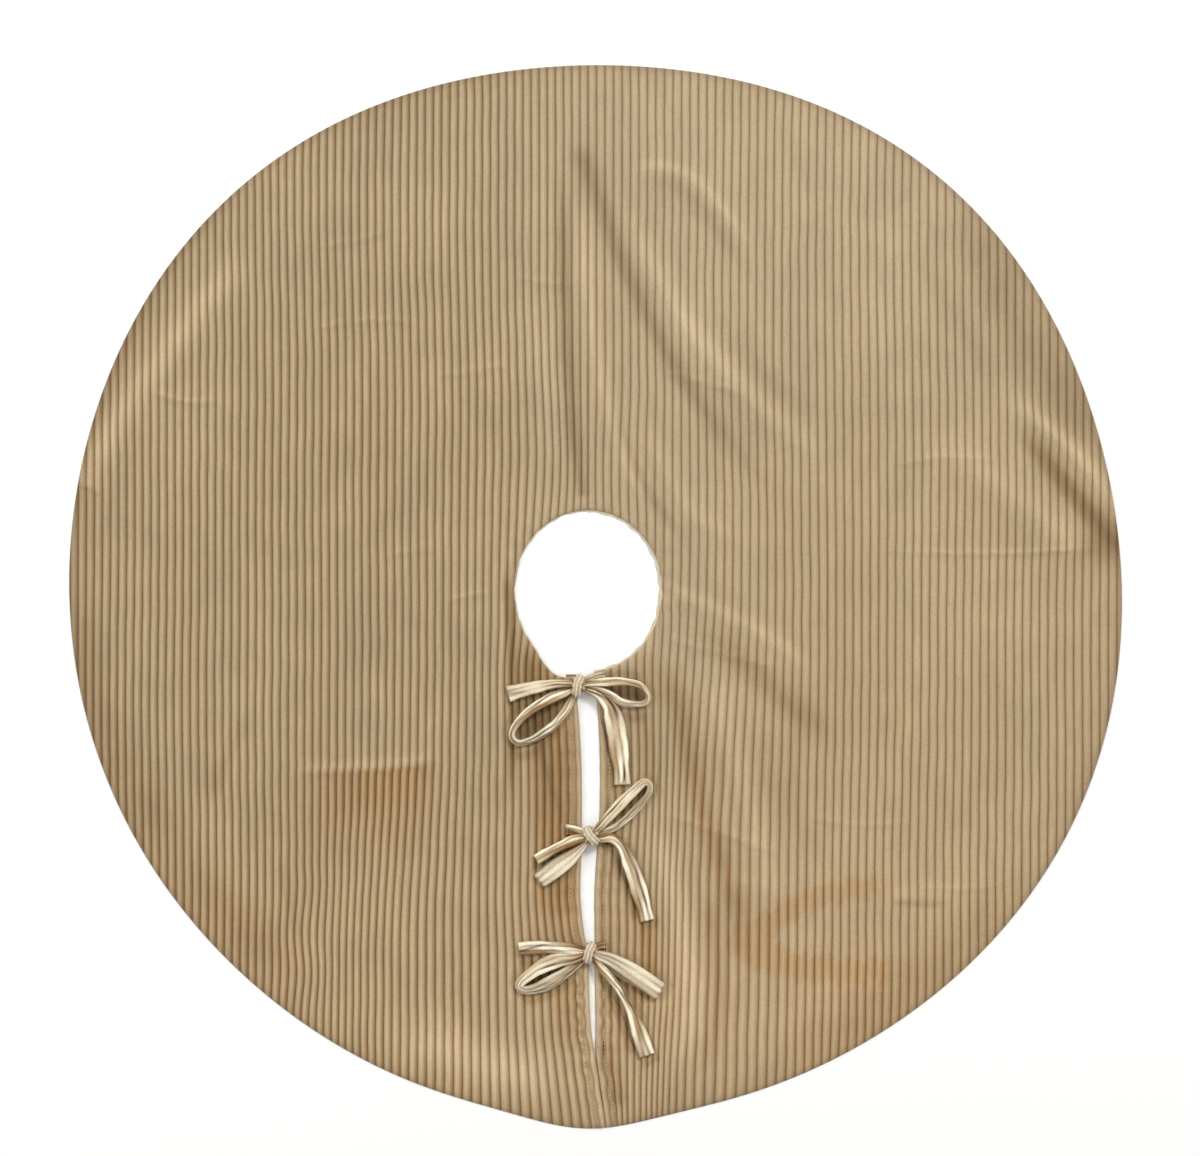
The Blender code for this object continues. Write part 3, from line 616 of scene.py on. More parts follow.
def new_mesh(name, co, faces, attrs=(), sharp=None):
    me = bpy.data.meshes.new(name)
    me.from_pydata([tuple(c) for c in co], [], faces)
    me.validate()
    me.update()
    for key, val in dict(attrs).items():
        a = me.attributes.new(key, 'FLOAT', 'POINT')
        a.data.foreach_set("value", np.asarray(val, np.float32))
    me.shade_smooth()
    if sharp:
        me.set_sharp_from_angle(angle=math.radians(sharp))
    ob = bpy.data.objects.new(name, me)
    bpy.context.scene.collection.objects.link(ob)
    return ob


def face_up(ob, up=True):
    """Makes the sheet's normals point up (or down)."""
    me = ob.data
    n = np.zeros(len(me.polygons) * 3)
    me.polygons.foreach_get("normal", n)
    if (n.reshape(-1, 3)[:, 2].sum() > 0) != up:
        me.flip_normals()
    return ob


EDGE_Z = 0.0006


def rolled(z, d, r):
    """A surface height that rounds over within r of an edge."""
    t = np.clip(d / r, 0.0, 1.0)
    return EDGE_Z + (z - EDGE_Z) * np.sqrt(np.clip(1.0 - (1.0 - t) ** 2, 0.0, 1.0))


def hem_line(x, y):
    """How deep the stitched line pulls the cloth down beside the slit."""
    ds = np.maximum(d_slit(x, y), 0.0)
    line = np.exp(-((ds - 0.0112) / 0.0016) ** 2)
    return np.where((y < -0.088), line, 0.0)


def press_cap(x, y):
    """How high the cloth may stand where ribbons, stubs and knots lie on it and press it down."""
    cap = np.full(np.shape(x), 1.0)

    def under(knot, rows):
        # rows of (x, y, underside z, half width) in mm
        pts = [(knot[0] + r[0] / 1e3, knot[1] + r[1] / 1e3) for r in rows]
        k, d, sd, al = near_line(x, y, pts, 0.020)
        if len(k) == 0:
            return
        seg = np.concatenate([[0.0], np.cumsum([math.dist(a, b) for a, b in zip(pts, pts[1:])])])
        seg = seg / seg[-1]
        low = np.interp(al, seg, [r[2] / 1e3 for r in rows])
        half = np.interp(al, seg, [r[3] / 1e3 for r in rows])
        cap[k] = np.minimum(cap[k], low + 0.85 * np.maximum(d - half - 0.0008, 0.0))

    for name, rows in RIBBONS.items():
        knot = KNOTS[name.split("_")[0]]
        if rows is not None:
            rows = curve([tuple(r) for r in rows], 5)
            under(knot, [(r[0], r[1], r[2] - 0.5 * r[3] * math.sin(math.radians(abs(r[4]))) - 2.5, 0.53 * r[3]) for r in rows])
    for name, spec in FLAT.items():
        under(KNOTS[name.split("_")[0]], [(r[0] , r[1], r[3] - 2.2, 0.62 * r[4] + 2.0) for r in spec])
    for (bow, side), rows in STUBS.items():
        under(KNOTS[bow], [(r[0], r[1], r[2] - 2.4, 0.56 * r[3]) for r in rows])
    for knot in KNOTS.values():
        d = np.hypot(x - knot[0], y - knot[1])
        cap = np.minimum(cap, 0.0034 + 0.85 * np.maximum(d - 0.0135, 0.0))
    return np.maximum(cap, 0.0021)


def face_z(x, y, f):
    d1, d2, d3 = d_rim(x, y), d_hole(x, y), d_slit(x, y)
    rib = RIB_H * rib_shape(f)
    soft = 0.45 + 0.55 * smooth(np.minimum(np.minimum(d1 * 0.7, d2), d3), 0.0, 0.012)
    # the turned hem is a double thickness beside the slit
    hem = 0.0006 * (1.0 - smooth(d3, 0.010, 0.0125))
    hem = hem + np.where(x < slit_x("right", y) - 0.0001, 1.0, 0.0) * 0.0010 * (1.0 - smooth(d3, 0.009, 0.014)) * smooth(-y, 0.50, 0.54)
    pull = hem_line(x, y) * (0.0011 + 0.0004 * np.sin(2 * math.pi * y / 0.0048))
    z = 0.0016 + fold_height(x, y) + rib * soft + hem - pull
    z = np.maximum(z, 0.0012)
    # pressed flat under the ties, the ribs still showing a little
    cap = press_cap(x, y)
    z = np.where(z > cap, cap - 0.0004 * (1.0 - rib_shape(f)), z)
    z = rolled(z, d1, 0.0065)
    z = rolled(z, d2, 0.0040)
    return rolled(z, d3, 0.0036)


def build_face(side):
    per = RIB_F
    n = 124
    x, y, f, faces = half_grid(side, per, n)
    z = face_z(x, y, f)
    tone, warm = nap(x, y)
    rib = rib_shape(f)
    groove = 1.0 - rib
    # painted shade on each rib's right-hand flank, strongest on the left half and low down, so the ribs look lit from
    # the left
    lean = smooth(-x, -0.10, 0.20) * 0.80 + 0.18
    lean = np.maximum(lean, 0.95 * np.exp(-((x - 0.02) / 0.19) ** 2) * smooth(-y, 0.02, 0.20))
    lean = np.maximum(lean, 0.50 * smooth(-y, 0.25, 0.50))
    flank_shade = smooth(f, 0.42, 0.86) * lean
    ds = np.maximum(d_slit(x, y), 0.0)
    groove = groove * (0.80 + 0.20 * smooth(-x, -0.05, 0.15)) + 0.34 * hem_line(x, y)
    tone = tone + 0.10 * smooth(-y, 0.16, 0.46) * (1.0 - groove) + 0.03 * smooth(-y, 0.16, 0.46)
    below = np.where(y < -0.10, 1.0, 0.0)
    tone = tone + 0.15 * np.exp(-((ds - 0.0150) / 0.0026) ** 2) * below * (0.55 + 0.3 * np.sin(2 * math.pi * y / 0.0098) + 0.3 * np.sin(y / 0.0061 + 2.0 * np.sin(y / 0.017)))
    # the hem is brushed flat, paler than the ribs beside it, on the left above all
    band = smooth(ds, 0.0008, 0.0028) * (1.0 - smooth(ds, 0.0085, 0.0108)) * below
    tone = tone + band * (0.17 if side == "left" else 0.09) * (0.8 + 0.2 * np.sin(y / 0.019))
    groove = groove * (1.0 - 0.35 * band)
    warm = warm * (1.0 - 0.45 * band)
    # puckers along the sewn line low on the left, painted as alternating light and shade
    if side == "left":
        low = smooth(-y, 0.40, 0.44) * (1.0 - smooth(-y, 0.545, 0.58))
        pucker_shading = np.exp(-((ds - 0.0122) / 0.0030) ** 2) * low
        tone = tone + 0.30 * pucker_shading * np.sin(2 * math.pi * y / 0.0066 + 1.5 * np.sin(y / 0.011))
    co = np.stack([x + SHIFT[0], y + SHIFT[1], z], 1)
    ob = new_mesh("face_" + side + "_half", co, faces,
                  {"tone": tone, "warm": warm, "groove": groove, "flank_shade": flank_shade})
    return face_up(ob)


def build_lining(side):
    x, y, f, faces = half_grid(side, (0.0, 0.5), 124)      # the face's rows, so both layers bend alike
    z = 0.0003 + np.maximum(fold_height(x, y) * 0.82 - 0.0002, 0.0)
    inset = np.minimum(np.minimum(d_rim(x, y), d_hole(x, y)), d_slit(x, y))
    z = np.minimum(z, 0.0003 + 0.30 * np.maximum(inset, 0.0))
    z = np.minimum(z, press_cap(x, y) - 0.0012)
    co = np.stack([x + SHIFT[0], y + SHIFT[1], z], 1)
    ob = new_mesh("lining_" + side + "_half", co, faces, {"warm": np.zeros(len(x))})
    return face_up(ob, False)


# ---------------------------------------------------------------- materials
def srgb(r, g, b):
    return tuple(((c / 255.0 / 12.92) if c / 255.0 <= 0.04045 else ((c / 255.0 + 0.055) / 1.055) ** 2.4)
                 for c in (r, g, b))


class Mat:
    """A small helper for node materials."""
    def __init__(self, name, rough=0.85):
        self.m = bpy.data.materials.new(name)
        self.m.use_nodes = True
        self.t = self.m.node_tree
        self.b = self.t.nodes["Principled BSDF"]
        self.b.inputs["Roughness"].default_value = rough
        self.b.inputs["Specular IOR Level"].default_value = 0.25

    def n(self, kind, **kw):
        node = self.t.nodes.new(kind)
        for k, v in kw.items():
            setattr(node, k, v)
        return node

    def link(self, a, b):
        self.t.links.new(a, b)

    def val(self, v):
        return v

    def math(self, op, a, b=None, clamp=False):
        node = self.n("ShaderNodeMath", operation=op, use_clamp=clamp)
        for i, s in enumerate((a, b)):
            if s is None:
                continue
            if isinstance(s, (int, float)):
                node.inputs[i].default_value = s
            else:
                self.link(s, node.inputs[i])
        return node.outputs[0]

    def mix(self, fac, a, b, mode='MIX'):
        node = self.n("ShaderNodeMix", data_type='RGBA', blend_type=mode, clamp_factor=True)
        for key, s in ((0, fac), (6, a), (7, b)):
            if isinstance(s, (int, float)):
                node.inputs[key].default_value = s
            elif isinstance(s, tuple):
                node.inputs[key].default_value = (*s, 1.0)
            else:
                self.link(s, node.inputs[key])
        return node.outputs[2]

    def attr(self, name):
        return self.n("ShaderNodeAttribute", attribute_name=name).outputs["Fac"]

    def noise(self, scale, detail=3.0, rough=0.55, stretch=(1, 1, 1)):
        co = self.n("ShaderNodeTexCoord").outputs["Object"]
        mp = self.n("ShaderNodeMapping")
        mp.inputs["Scale"].default_value = stretch
        self.link(co, mp.inputs["Vector"])
        no = self.n("ShaderNodeTexNoise")
        no.inputs["Scale"].default_value = scale
        no.inputs["Detail"].default_value = detail
        no.inputs["Roughness"].default_value = rough
        self.link(mp.outputs[0], no.inputs["Vector"])
        return no.outputs["Fac"]

    def bump(self, height, strength, distance):
        b = self.n("ShaderNodeBump")
        b.inputs["Strength"].default_value = strength
        b.inputs["Distance"].default_value = distance
        self.link(height, b.inputs["Height"])
        self.link(b.outputs[0], self.b.inputs["Normal"])

    def sheen(self, w, r, tint):
        self.b.inputs["Sheen Weight"].default_value = w
        self.b.inputs["Sheen Roughness"].default_value = r
        self.b.inputs["Sheen Tint"].default_value = (*tint, 1.0)

    def colour(self, c):
        self.link(c, self.b.inputs["Base Color"])


def velvet(name, crest, low, flank_shade_c, warm_c, fibre=1.0, shade=0.70):
    m = Mat(name, 0.88)
    groove = m.attr("groove")
    fine = m.noise(620.0, 3.0, 0.6, (1.0, 0.45, 1.0))
    blotch = m.noise(46.0, 4.0, 0.6, (1.0, 0.55, 1.0))
    broad = m.noise(9.0, 3.0, 0.5)
    # painted shade on one flank of each rib, as its flank attribute gives; warmth is strongest in the grooves and in
    # that painted shade
    c = m.mix(m.math('MULTIPLY', m.attr("flank_shade"), shade), crest, flank_shade_c)
    g = m.math('POWER', m.math('MINIMUM', groove, 1.0), 0.92)
    c = m.mix(g, c, low)
    w = m.math('MULTIPLY', m.attr("warm"), m.math('ADD', 0.34, m.math('MULTIPLY', m.math('MAXIMUM', groove, m.attr("flank_shade")), 0.98)))
    c = m.mix(w, c, warm_c, 'MULTIPLY')
    k = m.math('ADD', 1.0, m.attr("tone"))
    k = m.math('MULTIPLY', k, m.math('ADD', 0.81, m.math('MULTIPLY', fine, 0.38 * fibre)))
    k = m.math('MULTIPLY', k, m.math('ADD', 0.90, m.math('MULTIPLY', blotch, 0.20)))
    k = m.math('MULTIPLY', k, m.math('ADD', 0.97, m.math('MULTIPLY', broad, 0.06)))
    hue = m.noise(58.0, 2.0, 0.5, (1.0, 0.05, 1.0))
    c = m.mix(hue, m.mix(1.0, c, (0.965, 1.0, 1.0), 'MULTIPLY'), m.mix(1.0, c, (1.0, 0.965, 0.95), 'MULTIPLY'))
    streak = m.noise(330.0, 3.0, 0.6, (1.0, 0.07, 1.0))
    k = m.math('MULTIPLY', k, m.math('ADD', 0.86, m.math('MULTIPLY', streak, 0.28)))
    comb = m.n("ShaderNodeCombineColor")
    for i in range(3):
        m.link(k, comb.inputs[i])
    c = m.mix(1.0, c, comb.outputs[0], 'MULTIPLY')
    m.colour(c)
    m.bump(fine, 0.45, 0.0014)
    m.sheen(0.22, 0.45, (0.95, 0.86, 0.68))
    rough = m.math('ADD', 0.80, m.math('MULTIPLY', blotch, 0.16))
    m.link(rough, m.b.inputs["Roughness"])
    return m.m


def plain_weave(name, col, dark, scale):
    m = Mat(name, 0.9)
    co = m.n("ShaderNodeTexCoord").outputs["Object"]
    waves = []
    for axis in ('X', 'Y'):
        w = m.n("ShaderNodeTexWave", wave_type='BANDS', bands_direction=axis)
        w.inputs["Scale"].default_value = scale
        w.inputs["Distortion"].default_value = 0.6
        m.link(co, w.inputs["Vector"])
        waves.append(w.outputs["Fac"])
    weave = m.math('MULTIPLY', waves[0], waves[1])
    blotch = m.noise(30.0, 4.0)
    c = m.mix(weave, dark, col)
    c = m.mix(m.math('MULTIPLY', blotch, 0.25), c, dark)
    m.colour(c)
    m.bump(weave, 0.25, 0.0006)
    m.sheen(0.08, 0.5, (1.0, 0.95, 0.88))
    return m.m


def thread_mat(name, col, dark):
    m = Mat(name, 0.6)
    tw = m.noise(900.0, 2.0, 0.5, (1.0, 3.0, 1.0))
    m.colour(m.mix(tw, dark, col))
    m.bump(tw, 0.4, 0.0003)
    m.sheen(0.15, 0.4, (1.0, 0.95, 0.85))
    return m.m


CREST, FLANK_SHADE = srgb(186, 167, 137), srgb(142, 116, 78)
LOW, WARM = srgb(120, 91, 52), (0.95, 0.68, 0.36)
M_FACE = velvet("velvet_face", CREST, LOW, FLANK_SHADE, WARM)
# the ties are the face's own velvet: the paler crest is painted highlight, the darker groove and flank colours are
# painted shade
M_TIE_PAINTED_LIGHT = velvet("velvet_tie", srgb(244, 233, 208), srgb(74, 48, 12), srgb(142, 106, 54), WARM, 1.35, 0.92)
# the hems are the face's own velvet, made a little darker as painted shade where they lie turned under
M_HEM_SHADED = velvet("velvet_hem", srgb(176, 156, 126), LOW, FLANK_SHADE, WARM)
M_LINING = plain_weave("lining_cloth", srgb(206, 190, 160), srgb(170, 150, 118), 160.0)
M_FACING = plain_weave("facing_cloth", srgb(232, 222, 200), srgb(200, 186, 158), 220.0)
M_THREAD = thread_mat("thread", srgb(218, 200, 160), srgb(168, 140, 96))


def bend_with_flap(ob):
    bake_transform(ob)


def edge_strip(name, ring, a0, a1, n, profile):
    """A strip that follows the rim or the hole; profile gives (offset inwards, z) pairs."""
    co, faces = [], []
    m = len(profile)
    for k in range(n + 1):
        a = a0 + (a1 - a0) * k / n
        if ring == "rim":
            r, c, sgn = float(rim_r(np.array(a))), RIM_C, -1.0
        else:
            r, c, sgn = float(hole_r(np.array(a))), HOLE_C, 1.0
        for off, z in profile:
            rr = r + sgn * off
            co.append((c[0] + rr * math.cos(a) + SHIFT[0], c[1] + rr * math.sin(a) + SHIFT[1], z))
        if k:
            i = (k - 1) * m
            for j in range(m - 1):
                faces.append((i + j, i + j + 1, i + m + j + 1, i + m + j))
    return co, faces


def corner_angle(side, ring):
    """Direction in which the slit's edge leaves the rim or the hole."""
    t = np.linspace(-0.65, -0.06, 4000)
    x = slit_x(side, t)
    d = d_rim(x, t) if ring == "rim" else d_hole(x, t)
    i = int(np.argmin(np.abs(d)))
    c = RIM_C if ring == "rim" else HOLE_C
    return math.atan2(t[i] - c[1], x[i] - c[0]) % (2 * math.pi)


def build_edges():
    made = {}
    for side, flap in (("left", "left_flap"), ("right", "right_flap")):
        # the turned hem under the rim
        prof = ((0.0000, 0.00058), (0.0006, 0.00036), (0.0022, 0.00018), (0.0060, 0.00014),
                (0.0100, 0.00014), (0.0120, 0.00020))
        mid = math.pi / 2
        end = corner_angle(side, "rim")
        a0, a1 = (mid, end) if side == "left" else (end - 2 * math.pi, mid)
        co, faces = edge_strip("rim", "rim", a0, a1, 560, prof)
        co = np.array(co)
        n = len(co)
        ph = np.arange(n) / len(prof)
        rib = 0.5 + 0.5 * np.cos(2 * math.pi * (co[:, 0] - SPLIT_X) / PITCH[side])
        # the rim hem's lower tone is painted shade under the rolled edge
        ob = new_mesh("rim_hem_" + side + "_half", co, faces,
                      {"tone": np.full(n, -0.12), "warm": np.full(n, 0.15), "groove": 0.35 + 0.4 * rib,
                       "flank_shade": np.full(n, 0.3)})
        face_up(ob, False)
        ob.data.materials.append(M_HEM_SHADED)
        bend_with_flap(ob)
        made["rim", side] = ob
        # the pale facing inside the hole
        peek = 0.0020 if side == "right" else 0.0007
        prof = ((-peek, 0.0009), (-peek * 0.6, 0.0012), (0.0006, 0.0011), (0.0030, 0.0006),
                (0.0075, 0.0003), (0.0115, 0.0003))
        mid = math.pi / 2
        end = corner_angle(side, "hole")
        a0, a1 = (mid, end) if side == "left" else (end - 2 * math.pi, mid)
        co, faces = edge_strip("hole", "hole", a0, a1, 220, prof)
        co = np.array(co)
        a = np.arctan2(co[:, 1] - HOLE_C[1], co[:, 0] - HOLE_C[0])
        wob = 0.0005 * np.sin(31 * a) + 0.0004 * np.sin(17 * a + 1.0)
        grow = np.where(side == "right", 1.0 + 1.4 * np.exp(-((np.degrees(a) + 4) / 30) ** 2), 1.0)
        r = np.hypot(co[:, 0] - HOLE_C[0], co[:, 1] - HOLE_C[1])
        inner = (np.arange(len(co)) % len(prof)) < 2
        rr = r + np.where(inner, wob - 0.0012 * (grow - 1.0), 0.0)
        co[:, 0] = HOLE_C[0] + (co[:, 0] - HOLE_C[0]) * rr / r
        co[:, 1] = HOLE_C[1] + (co[:, 1] - HOLE_C[1]) * rr / r
        ob = new_mesh("hole_facing_" + side + "_half", co, faces, {"warm": np.zeros(len(co))})
        face_up(ob, True)
        ob.data.materials.append(M_FACING)
        bend_with_flap(ob)
        made["collar", side] = ob
        # the turned hem under the slit's edge
        sgn = -1.0 if side == "left" else 1.0
        ts = np.linspace(0, 1, 220)
        y0, y1 = -0.0905, -0.6045
        prof = ((0.0000, 0.00058), (0.0005, 0.00036), (0.0020, 0.00018), (0.0060, 0.00014),
                (0.0105, 0.00014), (0.0120, 0.00020))
        co, faces = [], []
        for k, t in enumerate(ts):
            y = y0 + (y1 - y0) * t
            x = float(slit_x(side, y))
            for off, z in prof:
                co.append((x + sgn * off + SHIFT[0], y + SHIFT[1], z))
            if k:
                i = (k - 1) * len(prof)
                for j in range(len(prof) - 1):
                    faces.append((i + j, i + j + 1, i + len(prof) + j + 1, i + len(prof) + j))
        n = len(co)
        # the slit hem's lower tone is painted shade where it lies turned under
        ob = new_mesh("slit_hem_" + side, np.array(co), faces,
                      {"tone": np.full(n, -0.05), "warm": np.full(n, 0.1), "groove": np.full(n, 0.3),
                       "flank_shade": np.full(n, 0.3)})
        face_up(ob, False)
        ob.data.materials.append(M_HEM_SHADED)
        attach(ob, flap)
        made["slit", side] = ob
    return made


# ---------------------------------------------------------------- ties
def rotate(v, axis, ang):
    return Matrix.Rotation(ang, 3, axis) @ v


def ribbon(name, knot, rows, thick=0.0028, ribs=3, open_end=True, step=0.0021, caps=True, tone0=0.0):
    """A flattened self-fabric tube with ribs, along rows of (x, y, z, width, tilt) in mm from the knot."""
    dense = curve([tuple(r) for r in rows], 14)
    pts = np.array([(knot[0] + r[0] / 1e3 + SHIFT[0], knot[1] + r[1] / 1e3 + SHIFT[1], r[2] / 1e3) for r in dense])
    wid = np.array([r[3] / 1e3 for r in dense])
    tilt = np.array([math.radians(r[4]) for r in dense])
    seg = np.linalg.norm(np.diff(pts, axis=0), axis=1)
    s = np.concatenate([[0.0], np.cumsum(seg)])
    n = max(10, int(s[-1] / step))
    q = np.linspace(0, s[-1], n + 1)
    pts = np.stack([np.interp(q, s, pts[:, c]) for c in range(3)], 1)
    wid, tilt = np.interp(q, s, wid), np.interp(q, s, tilt)
    full = wid.max()
    ph = sum(ord(ch) * (k + 3) for k, ch in enumerate(name)) * 0.37
    nt, nb = 22, 12
    a_top = np.linspace(-1, 1, nt + 1)
    a_bot = np.linspace(1, -1, nb + 1)[1:-1]
    co, grv, tn, flk_shade = [], [], [], []
    for i in range(n + 1):
        t = Vector(pts[min(i + 1, n)] - pts[max(i - 1, 0)]).normalized()
        side = Vector((0, 0, 1)).cross(t)
        if side.length < 1e-4:
            side = Vector((1, 0, 0))
        side.normalize()
        w = rotate(side, t, tilt[i])
        up = t.cross(w).normalized()
        hw = wid[i] / 2
        squeeze = wid[i] / full
        th = thick * (1.0 + 0.9 * (1.0 - squeeze)) / 2
        wob = 0.00060 * math.sin(q[i] / 0.0085 + ph) + 0.00040 * math.sin(q[i] / 0.0041 + 2 * ph)
        hw *= (1.0 + 0.045 * math.sin(q[i] / 0.0062 + ph) + 0.045 * math.sin(q[i] / 0.0149 + 3 * ph)
               + 0.02 * math.sin(q[i] / 0.0027 + 5 * ph))
        # how near the knot: painted shade falls on the tie there
        near_knot_shade = math.exp(-(q[i] / 0.016) ** 2) + (math.exp(-((s[-1] - q[i]) / 0.016) ** 2) if not open_end else 0.0)
        crisp = 0.50 + 0.22 * math.sin(q[i] / 0.013 + ph) + 0.16 * math.sin(q[i] / 0.0056 + 2.3 * ph)
        for a in a_top:
            rr = abs(math.cos(1.5 * math.pi * a)) ** 0.7 if ribs == 3 else abs(math.cos(math.pi * a)) ** 0.7
            b = th * (1 - abs(a) ** 5) * 0.9 + 0.00062 * rr * (1 - a**8) * (1.0 + 0.8 * (1 - squeeze)) + wob * (1 - a * a)
            b += 0.00036 * math.sin(q[i] / 0.0034 + 5.0 * a + ph) * (1 - a * a)
            # a pressed-in pleat that wanders across the tie
            pleat = 0.52 * math.sin(q[i] / 0.031 + ph) + 0.20 * math.sin(q[i] / 0.012 + 2 * ph)
            dip = math.exp(-((a - pleat) / 0.16) ** 2) * (0.55 + 0.45 * math.sin(q[i] / 0.017 + 1.3 * ph))
            b -= 0.00075 * dip
            co.append(pts[i] + np.array(w) * a * hw + np.array(up) * b)
            # the tone paints light and shade along the tie: streaks of painted light and shade on each rib, painted
            # shade where the tie is squeezed, near the knot and in the pleat; across the tie one side takes painted
            # shade
            rib = min(int((a + 1.0) * 1.5), 2)
            streak = 0.13 * math.sin(q[i] / 0.021 + 2.1 * rib + ph) + 0.05 * math.sin(q[i] / 0.0075 + 3 * a + ph)
            grv.append(min(0.98, (crisp + 0.25 * near_knot_shade) * (1 - rr) * 1.1 + 0.62 * dip))
            tn.append(tone0 + 1.25 * streak - 0.20 * (1 - squeeze) - 0.14 * near_knot_shade + 0.05 - 0.10 * dip)
            flk_shade.append(min(max(0.30 + 0.45 * a * math.cos(q[i] / 0.034 + ph) + 0.40 * math.sin(q[i] / 0.023 + 1.7 * rib + 2 * ph) + 0.3 * near_knot_shade, 0.0), 1.0))
        # the underside is painted a shade darker
        for a in a_bot:
            rr = abs(math.cos(1.5 * math.pi * a)) ** 0.7
            b = -th * (1 - abs(a) ** 5) * 0.9 - 0.00035 * rr * (1 - a**8)
            co.append(pts[i] + np.array(w) * a * hw + np.array(up) * b)
            grv.append(0.8 * (1 - rr))
            tn.append(tone0 - 0.10)
            flk_shade.append(0.5)
    m = nt + 1 + nb - 1
    faces = []
    for i in range(n):
        for j in range(m):
            k = (j + 1) % m
            faces.append((i * m + j, i * m + k, (i + 1) * m + k, (i + 1) * m + j))
    faces.append(tuple(reversed(range(m))))
    last = n * m
    if open_end:
        # the cut end is an open tube: a small lip, then a slot painted dark as the shade inside the tube
        c = np.array(co[last:last + m]).mean(0)
        t = np.array(Vector(pts[n] - pts[n - 1]).normalized())
        ring = np.array(co[last:last + m])
        w = np.array(w)
        prev = last
        for shrink_w, shrink_t, back, g in ((0.93, 0.55, -0.0001, 0.5), (0.84, 0.34, 0.0032, 1.0)):
            start = len(co)
            for v in ring:
                d = v - c
                aw = d @ w
                rest = d - aw * w
                co.append(c + w * aw * shrink_w + rest * shrink_t - t * back)
                grv.append(g), tn.append(-0.25 * g), flk_shade.append(0.5)
            for j in range(m):
                k = (j + 1) % m
                faces.append((prev + j, prev + k, start + k, start + j))
            prev = start
        faces.append(tuple(range(prev, prev + m)))
    else:
        faces.append(tuple(range(last, last + m)))
    ob = new_mesh(name, np.array(co), faces, {"groove": grv, "tone": tn, "flank_shade": flk_shade,
                                              "warm": np.clip(0.12 - np.array(tn) * 2.2, 0, 1)})
    ob.data.materials.append(M_TIE_PAINTED_LIGHT)
    fix_normals(ob)
    return ob, float(s[-1]), float(full)


def fix_normals(ob):
    import bmesh
    bm = bmesh.new()
    bm.from_mesh(ob.data)
    bmesh.ops.recalc_face_normals(bm, faces=bm.faces)
    if bm.calc_volume(signed=True) < 0:
        bmesh.ops.reverse_faces(bm, faces=bm.faces)
    bm.to_mesh(ob.data)
    bm.free()


